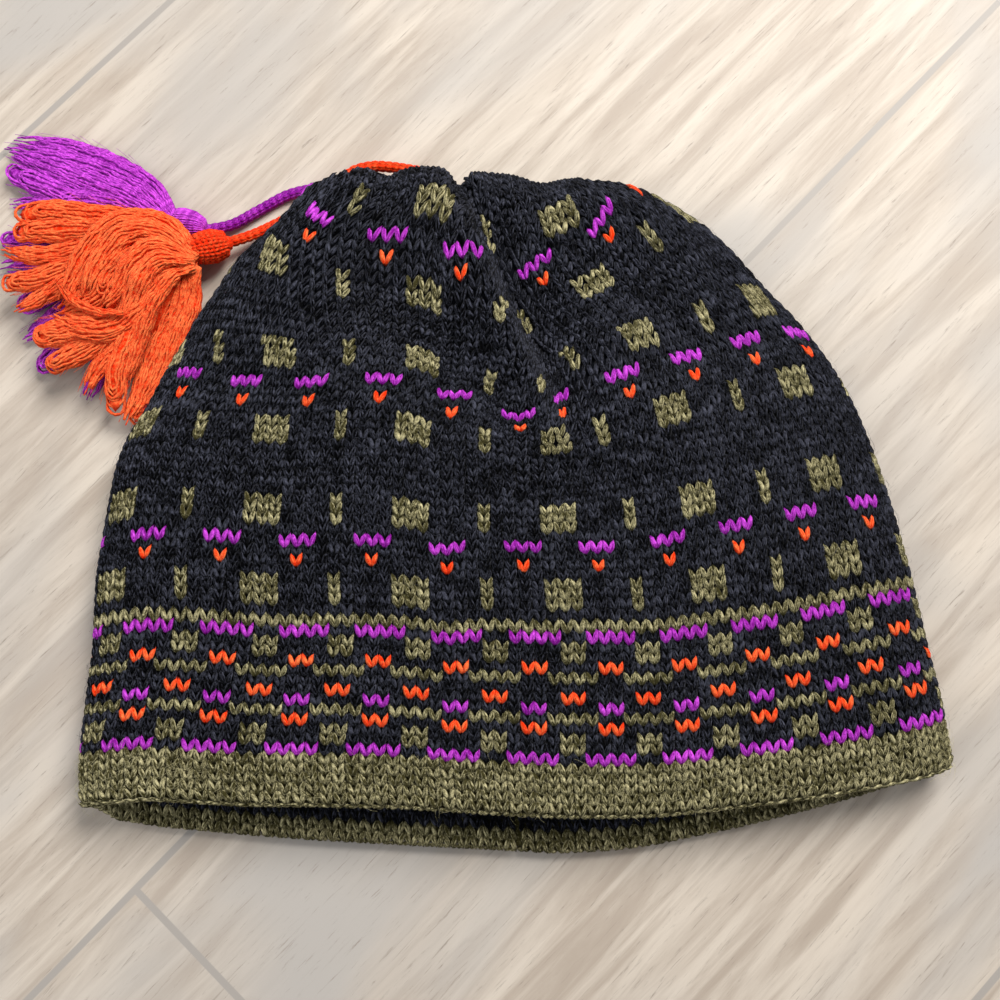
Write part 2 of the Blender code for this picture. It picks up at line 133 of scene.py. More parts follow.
# Soft light: a wide window from the upper right, a weaker one from the left and a dim room.
LAMPS = (
    ("window", (0.35, 0.60, 0.75), 0.60, 16.0, (1.0, 0.98, 0.95)),
    ("fill", (-0.70, -0.10, 0.60), 0.90, 3.5, (0.95, 0.97, 1.0)),
)
for lamp_name, lamp_place, lamp_size, lamp_power, lamp_color in LAMPS:
    lamp_data = bpy.data.lights.new(lamp_name, "AREA")
    lamp_data.shape = "DISK"
    lamp_data.size = lamp_size
    lamp_data.energy = lamp_power
    lamp_data.color = lamp_color
    lamp = bpy.data.objects.new(lamp_name, lamp_data)
    lamp.location = lamp_place
    lamp.rotation_euler = (-lamp.location).to_track_quat("-Z", "Y").to_euler()
    bpy.context.scene.collection.objects.link(lamp)
room = bpy.data.worlds.new("room")
room.use_nodes = True
room.node_tree.nodes["Background"].inputs["Color"].default_value = (0.95, 0.97, 1.0, 1.0)
room.node_tree.nodes["Background"].inputs["Strength"].default_value = 0.30
bpy.context.scene.world = room
bpy.context.scene.view_settings.view_transform = "Standard"

# Body of the crown: the knitted cloth under its stitches, from the hem to the gathered top.
# The front sheet lies over the back one, and the two roll into each other at the sides.
WIDTH = 0.250
LENGTH = 0.205
LOFT = 0.036
CROWN_WALL = 0.003
HEM_WALL = 0.005
HEM_SHARE = 0.078
HALF_WIDTH = WIDTH / 2
HALF_LENGTH = LENGTH / 2
CLOTH_RUN = 0.92 * LENGTH
SIDE_EDGE_HEIGHT = 0.236 * LOFT
TOP_EDGE_HEIGHT = 0.375 * LOFT
SIDE_ROLL_OVER = 0.136 * HALF_WIDTH
SIDE_ROLL_UNDER = 0.064 * HALF_WIDTH
TOP_ROLL_OVER = 0.073 * LENGTH
TOP_ROLL_UNDER = 0.127 * LENGTH
SIDE_CLOTH_HEIGHT = 0.42 * LOFT
LOFT_FULLNESS = 2.2
TOP_BLEND_START = 0.80
SIDE_ROUNDING = 0.015
TOP_ROUNDING = 0.020
MOUTH_ROUNDING = 0.030
LOFT_ROUNDING = 0.050
OUTLINE_SPAN = 0.040

# Side outline: share of the length, then the left and right reach as shares of half the width.
SIDE_OUTLINE = (
    (0.068, -0.992, 0.985),
    (0.125, -1.000, 1.004),
    (0.214, -0.990, 0.985),
    (0.298, -0.981, 0.957),
    (0.390, -0.981, 0.931),
    (0.469, -0.966, 0.902),
    (0.543, -0.950, 0.870),
    (0.590, -0.926, 0.845),
    (0.635, -0.882, 0.817),
    (0.684, -0.845, 0.781),
    (0.722, -0.811, 0.739),
    (0.768, -0.773, 0.685),
    (0.814, -0.725, 0.613),
    (0.858, -0.678, 0.550),
    (0.898, -0.602, 0.480),
    (0.931, -0.548, 0.402),
    (0.960, -0.514, 0.330),
    (0.980, -0.482, 0.290),
)
LEFT_RUN = (0.068, 0.968)
RIGHT_RUN = (0.120, 0.953)

# Mouth edge: share across, then the front and back edge as shares of the length.
MOUTH_EDGE = (
    (-1.00, 0.068, 0.068),
    (-0.95, 0.074, 0.046),
    (-0.84, 0.080, 0.036),
    (-0.62, 0.073, 0.024),
    (-0.48, 0.073, 0.018),
    (-0.26, 0.070, 0.011),
    (-0.03, 0.061, 0.004),
    (0.10, 0.057, 0.000),
    (0.23, 0.057, 0.004),
    (0.33, 0.059, 0.012),
    (0.53, 0.072, 0.036),
    (0.69, 0.084, 0.059),
    (0.81, 0.096, 0.078),
    (0.93, 0.109, 0.100),
    (1.00, 0.120, 0.120),
)

# Top edge without its gathers: share across, share of the length.
TOP_EDGE = (
    (-0.482, 0.968),
    (-0.463, 0.978),
    (-0.427, 0.990),
    (-0.380, 0.995),
    (-0.230, 0.992),
    (-0.100, 0.985),
    (0.050, 0.976),
    (0.200, 0.972),
    (0.250, 0.963),
    (0.290, 0.948),
)

# Height of the cloth along the middle: share of the length, share of the loft.
LOFT_RUN = (
    (0.00, 0.44),
    (0.06, 0.47),
    (0.13, 0.56),
    (0.25, 0.69),
    (0.40, 0.85),
    (0.55, 0.96),
    (0.68, 1.00),
    (0.80, 0.94),
    (0.90, 0.84),
    (1.00, 0.72),
)

# Gathers over the top edge: share across, depth as a share of the loft, half width as a share of
# half the width, run down the front as a share of the length, lean to the right.
GATHERS = (
    (-0.400, 0.017, 0.028, 0.068, -0.50),
    (-0.304, 0.061, 0.038, 0.098, 0.10),
    (-0.150, 0.117, 0.019, 0.078, 0.40),
    (0.030, 0.056, 0.044, 0.107, 0.45),
)
GATHER_HEIGHT = 1.1
GATHER_SPREAD = 0.15

# The deep pleat from the top edge: share across, share of the length, then the ridge height and
# the valley depth as shares of the loft.
PLEAT = (
    (-0.150, 0.975, 0.033, 0.083),
    (-0.096, 0.890, 0.072, 0.208),
    (-0.034, 0.781, 0.111, 0.319),
    (0.017, 0.706, 0.111, 0.292),
    (0.068, 0.637, 0.078, 0.181),
    (0.125, 0.550, 0.000, 0.000),
)
PLEAT_RIDGE_WIDTH = 0.112 * HALF_WIDTH
PLEAT_VALLEY_WIDTH = 0.136 * HALF_WIDTH
PLEAT_STEP = 0.018 * HALF_WIDTH

# Soft dents: start and end as shares across and along, depth as a share of the loft, half width
# as a share of half the width.
DENTS = (
    (-0.290, 0.780, -0.130, 0.650, 0.167, 0.120),
    (0.150, 0.820, 0.340, 0.735, 0.111, 0.120),
    (-0.640, 0.640, -0.480, 0.560, 0.056, 0.112),
    (0.250, 0.600, 0.560, 0.520, -0.033, 0.144),
)


def reading(table, key, column, blur=0.0):
    """One column of a table at a key, averaged over a short span to round its corners."""
    keys = [row[0] for row in table]
    values = [row[column] for row in table]
    steps = (-1.0, -0.5, 0.0, 0.5, 1.0)
    return sum(np.interp(key + blur * step, keys, values) for step in steps) / len(steps)


def dome(share):
    """Quarter circle: 0 at the edge, 1 where the roll ends."""
    return np.sqrt(1 - (1 - np.clip(share, 0, 1)) ** 2)


def bell(distance, half):
    return np.exp(-((distance / half) ** 2))


def along_line(x, y, start, end):
    """Distance to a line given in shares, which side of it, and the share along it."""
    x0, y0 = start[0] * HALF_WIDTH, start[1] * LENGTH - HALF_LENGTH
    dx, dy = end[0] * HALF_WIDTH - x0, end[1] * LENGTH - HALF_LENGTH - y0
    share = np.clip(((x - x0) * dx + (y - y0) * dy) / (dx * dx + dy * dy), 0, 1)
    gap = np.hypot(x - x0 - share * dx, y - y0 - share * dy)
    side = np.where(dx * (y - y0) - dy * (x - x0) > 0, 1.0, -1.0)
    return gap, side, share


def side_point(t, column, inset=0.0):
    low, high = LEFT_RUN if column == 1 else RIGHT_RUN
    share = low + (high - low) * t
    reach = reading(SIDE_OUTLINE, share, column, SIDE_ROUNDING)
    inwards = inset if column == 1 else -inset
    return np.array([reach * HALF_WIDTH + inwards, share * LENGTH - HALF_LENGTH])


def top_point(a, inset=0.0):
    across = TOP_EDGE[0][0] + (TOP_EDGE[-1][0] - TOP_EDGE[0][0]) * (a + 1) / 2
    y = reading(TOP_EDGE, across, 1, TOP_ROUNDING) * LENGTH - HALF_LENGTH
    for place, depth, half, _, _ in GATHERS:
        y = y - depth * LOFT * bell(across - place, half)
    return np.array([across * HALF_WIDTH - inset * a, y - inset])


def mouth_point(a, front):
    share = reading(MOUTH_EDGE, a, 1 if front else 2, MOUTH_ROUNDING * (1 - abs(a)))
    left = side_point(0.0, 1)
    right = side_point(0.0, 2)
    return np.array([left[0] + (right[0] - left[0]) * (a + 1) / 2, share * LENGTH - HALF_LENGTH])


def plan_point(a, t, front, inset=0.0):
    """Point in plan: a runs across from -1 to 1, t from the mouth to the top edge."""
    b = (a + 1) / 2
    low_left = mouth_point(-1.0, front)[:, None]
    low_right = mouth_point(1.0, front)[:, None]
    high_left = top_point(-1.0, inset)[:, None]
    high_right = top_point(1.0, inset)[:, None]
    value = (1 - b) * side_point(t, 1, inset) + b * side_point(t, 2, inset)
    value = value + (1 - t) * mouth_point(a, front) + t * top_point(a, inset)
    value = value - (1 - t) * ((1 - b) * low_left + b * low_right)
    return value - t * ((1 - b) * high_left + b * high_right)


def edge_distance(point, t, column):
    """Distance from a point to the side outline beside it, square to that outline."""
    here = side_point(t, column)
    above = side_point(np.minimum(t + OUTLINE_SPAN, 1), column)
    along = above - side_point(np.maximum(t - OUTLINE_SPAN, 0), column)
    cross = (point[0] - here[0]) * along[1] - (point[1] - here[1]) * along[0]
    return abs(cross) / np.hypot(along[0], along[1])


def pleat_reading(x, y):
    """Signed distance to the pleat line, with the ridge height and the valley depth beside it."""
    gap = np.full_like(x, LENGTH)
    signed = np.full_like(x, LENGTH)
    ridge = np.zeros_like(x)
    valley = np.zeros_like(x)
    for start, end in zip(PLEAT, PLEAT[1:]):
        near, side, share = along_line(x, y, start, end)
        closer = near < gap
        signed = np.where(closer, side * near, signed)
        ridge = np.where(closer, start[2] + (end[2] - start[2]) * share, ridge)
        valley = np.where(closer, start[3] + (end[3] - start[3]) * share, valley)
        gap = np.minimum(gap, near)
    return signed, ridge, valley


def fold_height(x, y, top_gap):
    """All folds of the front sheet together."""
    signed, ridge, valley = pleat_reading(x, y)
    right_side = 1 / (1 + np.exp(-np.clip(signed / (PLEAT_STEP / 2), -40, 40)))
    height = ridge * bell(signed, PLEAT_RIDGE_WIDTH) * (1 - right_side)
    height = LOFT * (height - valley * bell(signed, PLEAT_VALLEY_WIDTH) * right_side)
    for x0, y0, x1, y1, depth, half in DENTS:
        gap, _, _ = along_line(x, y, (x0, y0), (x1, y1))
        height = height - depth * LOFT * bell(gap, half * HALF_WIDTH)
    for place, depth, half, run, lean in GATHERS:
        middle = place * HALF_WIDTH + lean * top_gap
        spread = half * HALF_WIDTH + GATHER_SPREAD * top_gap
        fade = bell(top_gap, run * LENGTH)
        height = height - GATHER_HEIGHT * depth * LOFT * bell(x - middle, spread) * fade
    return height


def sheet_point(a, t, front, inset=0.0):
    """Points of the hat's surface, or of the layer at a depth of inset under it."""
    x, y = plan_point(a, t, front, inset)
    side_gap = np.minimum(edge_distance((x, y), t, 1), edge_distance((x, y), t, 2))
    top_gap = np.maximum(top_point(a)[1] - y, 0)
    ramp = np.clip((t - TOP_BLEND_START) / (1 - TOP_BLEND_START), 0, 1)
    at_top = ramp * ramp * (3 - 2 * ramp)
    middle = SIDE_EDGE_HEIGHT + (TOP_EDGE_HEIGHT - SIDE_EDGE_HEIGHT) * at_top
    if front:
        loft = reading(LOFT_RUN, (y + HALF_LENGTH) / LENGTH, 1, LOFT_ROUNDING) * LOFT
        side = SIDE_CLOTH_HEIGHT + (TOP_EDGE_HEIGHT - SIDE_EDGE_HEIGHT) * at_top
        roof = side + (loft - side) * (1 - abs(a) ** LOFT_FULLNESS) + fold_height(x, y, top_gap)
        rise = dome((side_gap - inset) / (SIDE_ROLL_OVER - inset))
        rise = rise * dome((top_gap - inset) / (TOP_ROLL_OVER - inset))
        return np.array([x, y, middle + (roof - inset - middle) * rise])
    fall = dome((side_gap - inset) / (SIDE_ROLL_UNDER - inset))
    fall = fall * dome((top_gap - inset) / (TOP_ROLL_UNDER - inset))
    return np.array([x, y, inset + (middle - inset) * (1 - fall)])


# Ring of places round the hat, from the middle of the back over the left side, the front and
# the right side back to the middle of the back.
RING_STEPS = 400
front_shares = np.sin(np.linspace(-np.pi / 2, np.pi / 2, RING_STEPS + 1))
RING_A = np.concatenate([-np.sin(np.linspace(0, np.pi / 2, RING_STEPS // 2 + 1))[:-1], front_shares,
                         np.sin(np.linspace(np.pi / 2, 0, RING_STEPS // 2 + 1))[1:]])
RING_FRONT = np.zeros(len(RING_A), bool)
RING_FRONT[RING_STEPS // 2:RING_STEPS // 2 + RING_STEPS + 1] = True


def ring_points(t, inset):
    """Points round the hat at the places of the ring, as rows of x, y and z."""
    t = t + np.zeros_like(RING_A)
    over = sheet_point(RING_A, t, True, inset)
    under = sheet_point(RING_A, t, False, inset)
    return np.where(RING_FRONT, over, under).T


def fill_mesh(name, points, faces, finishes, face_finish=None, values=None, uv=None):
    """One object from points and faces, with its yarns, point values and UV map."""
    mesh = bpy.data.meshes.new(name)
    mesh.from_pydata(np.asarray(points).tolist(), [], faces)
    for finish in finishes:
        mesh.materials.append(finish)
    mesh.polygons.foreach_set("use_smooth", np.ones(len(mesh.polygons), bool))
    if face_finish is not None:
        mesh.polygons.foreach_set("material_index", np.asarray(face_finish, np.int32))
    for title, numbers in (values or {}).items():
        layer = mesh.attributes.new(title, "FLOAT", "POINT")
        layer.data.foreach_set("value", np.asarray(numbers, np.float32))
    if uv is not None:
        corners = np.zeros(len(mesh.loops), np.int32)
        mesh.loops.foreach_get("vertex_index", corners)
        layer = mesh.uv_layers.new(name="along_yarn")
        layer.data.foreach_set("uv", np.asarray(uv, np.float32)[corners].ravel())
    mesh.update()
    piece = bpy.data.objects.new(name, mesh)
    bpy.context.scene.collection.objects.link(piece)
    return piece


def make_fibre_group():
    """Wool yarn close up: two twisted plies with painted shade in the hollows between them, uneven dye and fine
    fibres along the strand.
    """
    group = bpy.data.node_groups.new("wool_fibre", "ShaderNodeTree")
    for title, start in (("Plies", 2.0), ("Twist", 2.0), ("Mottle", 0.3)):
        socket = group.interface.new_socket(title, in_out="INPUT", socket_type="NodeSocketFloat")
        socket.default_value = start
    group.interface.new_socket("Shade", in_out="OUTPUT", socket_type="NodeSocketFloat")
    group.interface.new_socket("Height", in_out="OUTPUT", socket_type="NodeSocketFloat")
    link = group.links.new
    given = new_node(group, "NodeGroupInput")
    out = new_node(group, "NodeGroupOutput")
    uv = new_node(group, "ShaderNodeUVMap", uv_map="along_yarn")
    split = new_node(group, "ShaderNodeSeparateXYZ")
    link(uv.outputs["UV"], split.inputs["Vector"])

    def calculate(operation, first, second):
        step = new_node(group, "ShaderNodeMath", operation=operation)
        for socket, value in zip(step.inputs, (first, second)):
            if isinstance(value, float):
                socket.default_value = value
            else:
                link(value, socket)
        return step.outputs[0]

    # Painted shade: the ply wave darkens the colour in the hollows between the plies; the same wave is also their
    # bump relief.
    round_turns = calculate("MULTIPLY", split.outputs["X"], given.outputs["Plies"])
    long_turns = calculate("MULTIPLY", split.outputs["Y"], given.outputs["Twist"])
    angle = calculate("MULTIPLY", calculate("ADD", round_turns, long_turns), 2 * math.pi)
    ply = calculate("MULTIPLY", calculate("SINE", angle, 0.0), 0.12)
    streaks = noise_of(group, uv.outputs["UV"], (5.0, 1.6, 1.0), 1.6, 3.0, 0.6)
    place = new_node(group, "ShaderNodeTexCoord")
    fine = noise_of(group, place.outputs["Object"], (1.0, 1.0, 1.0), 1900.0, 2.0, 0.6)
    patchy = noise_of(group, place.outputs["Object"], (1.0, 1.0, 1.0), 240.0, 2.0, 0.5)
    uneven = calculate("ADD", calculate("MULTIPLY", streaks, 1.5), calculate("MULTIPLY", fine, 0.8))
    uneven = calculate("ADD", uneven, calculate("MULTIPLY", patchy, 0.5))
    uneven = calculate("MULTIPLY", calculate("SUBTRACT", uneven, 1.4), given.outputs["Mottle"])
    link(calculate("ADD", uneven, ply), out.inputs["Shade"])
    link(calculate("ADD", uneven, ply), out.inputs["Height"])
    return group


wool_fibre = make_fibre_group()


def make_yarn(name, dark, light, mottle=1.6, plies=2.0, twist=2.0, bump=0.0003):
    """Wool in one dye with painted shade: dark in the hollows between the plies, light on their backs, and the tone
    attribute adds painted shade and highlight as well as random tone.
    """
    yarn = bpy.data.materials.new(name)
    yarn.use_nodes = True
    tree = yarn.node_tree
    shader = tree.nodes["Principled BSDF"]
    shader.inputs["Roughness"].default_value = 0.88
    shader.inputs["Specular IOR Level"].default_value = 0.02
    shader.inputs["Sheen Weight"].default_value = 0.03
    shader.inputs["Sheen Roughness"].default_value = 0.5
    fibre = new_node(tree, "ShaderNodeGroup", node_tree=wool_fibre)
    fibre.inputs["Plies"].default_value = plies
    fibre.inputs["Twist"].default_value = twist
    fibre.inputs["Mottle"].default_value = mottle
    tone = new_node(tree, "ShaderNodeAttribute", attribute_name="tone")
    mix_share = new_node(tree, "ShaderNodeMath", operation="ADD", use_clamp=True)
    tree.links.new(fibre.outputs["Shade"], mix_share.inputs[0])
    tree.links.new(tone.outputs["Fac"], mix_share.inputs[1])
    ramp = new_node(tree, "ShaderNodeValToRGB")
    ramp.color_ramp.elements[0].color = (*dark, 1.0)
    ramp.color_ramp.elements[1].color = (*light, 1.0)
    tree.links.new(mix_share.outputs[0], ramp.inputs["Fac"])
    tree.links.new(ramp.outputs["Color"], shader.inputs["Base Color"])
    relief = new_node(tree, "ShaderNodeBump")
    relief.inputs["Distance"].default_value = bump
    relief.inputs["Strength"].default_value = 0.6
    tree.links.new(fibre.outputs["Height"], relief.inputs["Height"])
    tree.links.new(relief.outputs["Normal"], shader.inputs["Normal"])
    return yarn


charcoal = make_yarn("charcoal_wool", (0.0002, 0.0002, 0.0006), (0.072, 0.076, 0.105), mottle=2.0)
olive = make_yarn("olive_wool", (0.040, 0.035, 0.011), (0.720, 0.650, 0.370))
violet = make_yarn("violet_wool", (0.190, 0.004, 0.230), (0.760, 0.100, 0.850))
orange = make_yarn("orange_wool", (0.760, 0.026, 0.002), (1.000, 0.235, 0.070))
YARNS = (charcoal, olive, violet, orange)
CHARCOAL, OLIVE, VIOLET, ORANGE = range(4)

SHELL_INSET = 0.0012
SHELL_ROWS = 70


def quads_between(first, second, count, closed=True, flip=False):
    """Quads between two rows of points of the same count that start at the given indices."""
    quads = []
    for i in range(count if closed else count - 1):
        j = (i + 1) % count
        quad = (first + i, first + j, second + j, second + i)
        quads.append(quad[::-1] if flip else quad)
    return quads


# The knit between the stitches: a closed shell just under them, with the crown's own wall,
# coloured near-black as painted shade in the gaps between the stitches and inside the crown.
ring_pick = np.arange(0, len(RING_A) - 1, 4)
shell_count = len(ring_pick)
seam_a = RING_A[ring_pick[RING_FRONT[ring_pick]]]
seam_of = [int(np.argmin(abs(seam_a - RING_A[pick]))) for pick in ring_pick]
shell_shares = np.linspace(0, 1, SHELL_ROWS)
shell_shares = 0.4 * np.sin(np.pi / 2 * shell_shares) + 0.6 * shell_shares
crown_start = HEM_SHARE + 0.003
shell_points = []
shell_faces = []
for inset in (SHELL_INSET, CROWN_WALL):
    inner = inset == CROWN_WALL
    first = len(shell_points)
    for row, share in enumerate(shell_shares[:-1]):
        shell_points += list(ring_points(crown_start + (1 - crown_start) * share, inset)[ring_pick])
        if row:
            start = first + row * shell_count
            shell_faces += quads_between(start - shell_count, start, shell_count, flip=inner)
    last = len(shell_points) - shell_count
    seam = len(shell_points)
    shell_points += list(sheet_point(seam_a, np.ones(len(seam_a)), True, inset).T)
    for i in range(shell_count):
        j = (i + 1) % shell_count
        face = [last + i, last + j, seam + seam_of[j]]
        if seam_of[i] != seam_of[j]:
            face.append(seam + seam_of[i])
        shell_faces.append(tuple(face[::-1]) if inner else tuple(face))
    if inner:
        shell_faces += quads_between(0, first, shell_count, flip=True)

knit_shell_painted_shade = bpy.data.materials.new("charcoal_purl_side_painted_shade")
knit_shell_painted_shade.use_nodes = True
tree = knit_shell_painted_shade.node_tree
shader = tree.nodes["Principled BSDF"]
shader.inputs["Roughness"].default_value = 0.95
shader.inputs["Specular IOR Level"].default_value = 0.02
place = new_node(tree, "ShaderNodeTexCoord")
bumps = new_node(tree, "ShaderNodeTexVoronoi")
bumps.inputs["Scale"].default_value = 380.0
tree.links.new(place.outputs["Object"], bumps.inputs["Vector"])
# Painted shade: the shell is near-black, far darker than the charcoal yarn, and darkest in the hollows of its bumps.
tint = new_node(tree, "ShaderNodeValToRGB")
tint.color_ramp.elements[0].color = (0.009, 0.010, 0.014, 1.0)
tint.color_ramp.elements[1].color = (0.002, 0.002, 0.003, 1.0)
tree.links.new(bumps.outputs["Distance"], tint.inputs["Fac"])
tree.links.new(tint.outputs["Color"], shader.inputs["Base Color"])
relief = new_node(tree, "ShaderNodeBump")
relief.inputs["Distance"].default_value = 0.0006
relief.invert = True
tree.links.new(bumps.outputs["Distance"], relief.inputs["Height"])
tree.links.new(relief.outputs["Normal"], shader.inputs["Normal"])

crown_cloth = fill_mesh("crown_cloth", shell_points, shell_faces, [knit_shell_painted_shade])
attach(crown_cloth, "root")
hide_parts("crown")

# Stitches of the crown: each is a V of two plump legs of wool, knitted round in rows that run
# parallel to the hem, in charcoal with olive, violet and orange ones for the pattern.
STITCHES_ROUND = 132
ROW_HEIGHT = 0.00284
LEG_RADIUS = 0.00060
STITCH_DEPTH = 0.0007
SEAM_STITCH = -57.5
NARROWEST = 0.00335
WIDEST = 0.0039
TALLEST = 0.0044

# Where the rows run on the front: row number, then the share of the sheet's length at ten
# places across it. Row 0 is the olive row over the border.
ROW_COLUMNS = (-0.95, -0.75, -0.50, -0.20, -0.10, 0.06, 0.20, 0.36, 0.60, 0.95)
ROW_RUNS = (
    (-13.5, 0.078, 0.078, 0.078, 0.078, 0.078, 0.078, 0.078, 0.078, 0.078, 0.080),
    (-1, 0.262, 0.260, 0.258, 0.257, 0.259, 0.260, 0.263, 0.264, 0.269, 0.290),
    (3, 0.333, 0.327, 0.320, 0.318, 0.320, 0.322, 0.328, 0.330, 0.338, 0.365),
    (8, 0.404, 0.398, 0.391, 0.388, 0.389, 0.390, 0.392, 0.402, 0.419, 0.449),
    (11, 0.460, 0.449, 0.439, 0.430, 0.430, 0.427, 0.438, 0.449, 0.468, 0.505),
    (20, 0.590, 0.562, 0.559, 0.557, 0.550, 0.536, 0.550, 0.583, 0.610, 0.658),
    (25, 0.672, 0.634, 0.630, 0.627, 0.623, 0.568, 0.630, 0.659, 0.685, 0.742),
    (28, 0.708, 0.682, 0.674, 0.668, 0.648, 0.606, 0.688, 0.718, 0.740, 0.800),
    (37, 0.875, 0.830, 0.787, 0.760, 0.748, 0.727, 0.775, 0.810, 0.868, 0.968),
    (42, 0.985, 0.905, 0.866, 0.853, 0.838, 0.803, 0.845, 0.875, 0.955, 1.062),
    (45, 1.040, 0.965, 0.914, 0.920, 0.907, 0.860, 0.896, 0.930, 1.010, 1.118),
)
LAST_MEASURED_ROW = 45
TOP_ROW = 60
LAST_SHARE = 0.996
ROW_SMOOTHING = 0.035

# Where stitches 0 and 24 and their neighbours stand on the front, as shares across it.
WALE_STITCHES = (-12, 0, 12, 24, 36)
WALES = (
    (-14, -0.611, -0.240, 0.115, 0.461, 0.831),
    (-1, -0.572, -0.220, 0.138, 0.477, 0.813),
    (11, -0.570, -0.210, 0.140, 0.480, 0.815),
    (20, -0.570, -0.205, 0.150, 0.450, 0.815),
    (25, -0.600, -0.210, 0.150, 0.430, 0.825),
    (28, -0.620, -0.210, 0.150, 0.410, 0.875),
    (37, -0.790, -0.222, 0.150, 0.335, 0.985),
    (45, -0.950, -0.232, 0.150, 0.280, 0.985),
)
CREASE_SQUEEZE = 0.93
CREASE_STITCHES = 3
SPREAD_ROWS = (28, 42)
LOBE_SPREAD = 1.13

# One repeat of the pattern, 12 stitches wide: row, yarn, stitches of the repeat.
PATTERN = (
    (0, OLIVE, range(12)),
    (-1, VIOLET, (2, 3, 4, 5, 8, 9, 10, 11)),
    (-2, OLIVE, (0, 1, 6, 7)),
    (-3, OLIVE, (0, 1, 6, 7)),
    (-4, ORANGE, (3, 4, 9, 10)),
    (-5, OLIVE, (5, 0, 1, 2, 11, 6, 7, 8)),
    (-7, ORANGE, (0, 1, 6, 7)),
    (-8, VIOLET, (3, 4, 9, 10)),
    (-9, OLIVE, (5, 0, 1, 2, 11, 6, 7, 8)),
    (-10, ORANGE, (3, 4, 9, 10)),
    (-11, OLIVE, (0, 1, 6, 7)),
    (-12, OLIVE, (0, 1, 6, 7)),
    (-13, VIOLET, (2, 3, 4, 5, 8, 9, 10, 11)),
)
SQUARE_ROWS = ((2, 3, 4), (10, 11, 12), (19, 20, 21), (27, 28, 29), (36, 37, 38), (44, 45, 46))
VIOLET_DASH_ROWS = (8, 25, 42)
CHART = {}
for row, yarn, stitches in PATTERN:
    for stitch in stitches:
        CHART[row, stitch] = yarn
for rows in SQUARE_ROWS:
    for row in rows:
        for stitch in (11, 0, 1, 6):
            CHART[row, stitch] = OLIVE
for row in VIOLET_DASH_ROWS:
    for stitch in (2, 3, 4, 8, 9, 10):
        CHART[row, stitch] = VIOLET
    for stitch in (3, 9):
        CHART[row - 2, stitch] = ORANGE


def measured_t(u, a):
    """Share of the length where a row runs at places across the front."""
    rows = np.array([row[0] for row in ROW_RUNS], float)
    steps = (-1.0, -0.5, 0.0, 0.5, 1.0)
    total = np.zeros_like(a)
    heights = [np.interp(u, rows, [row[i + 1] for row in ROW_RUNS]) for i in range(len(ROW_COLUMNS))]
    for step in steps:
        total += np.interp(a + ROW_SMOOTHING * step, ROW_COLUMNS, heights)
    return total / len(steps)


# Length of the cloth along each place of the ring, to keep the last rows evenly apart where the
# cloth turns over the top edge.
COLUMN_STEPS = 160
column_t = np.linspace(0, 1, COLUMN_STEPS + 1)
column_points = np.array([ring_points(t, 0.0) for t in column_t])
column_runs = np.zeros(column_points.shape[:2])
column_runs[1:] = np.cumsum(np.linalg.norm(np.diff(column_points, axis=0), axis=2), axis=0)


def row_t(u):
    """Share of the length where a row runs, round the whole ring; over 1 past the top edge."""
    measured = measured_t(min(u, LAST_MEASURED_ROW), RING_A)
    left, right = measured_t(min(u, LAST_MEASURED_ROW), np.array([-1.0, 1.0]))
    t = np.where(RING_FRONT, measured, left + (right - left) * (RING_A + 1) / 2)
    if u <= LAST_MEASURED_ROW:
        return t
    beyond = (u - LAST_MEASURED_ROW) * ROW_HEIGHT
    for i in range(len(t)):
        if t[i] < 1:
            target = np.interp(t[i], column_t, column_runs[:, i]) + beyond
            over = target - column_runs[-1, i]
            t[i] = np.interp(target, column_runs[:, i], column_t) if over <= 0 else 1 + over / LENGTH
        else:
            t[i] += beyond / LENGTH
    return t


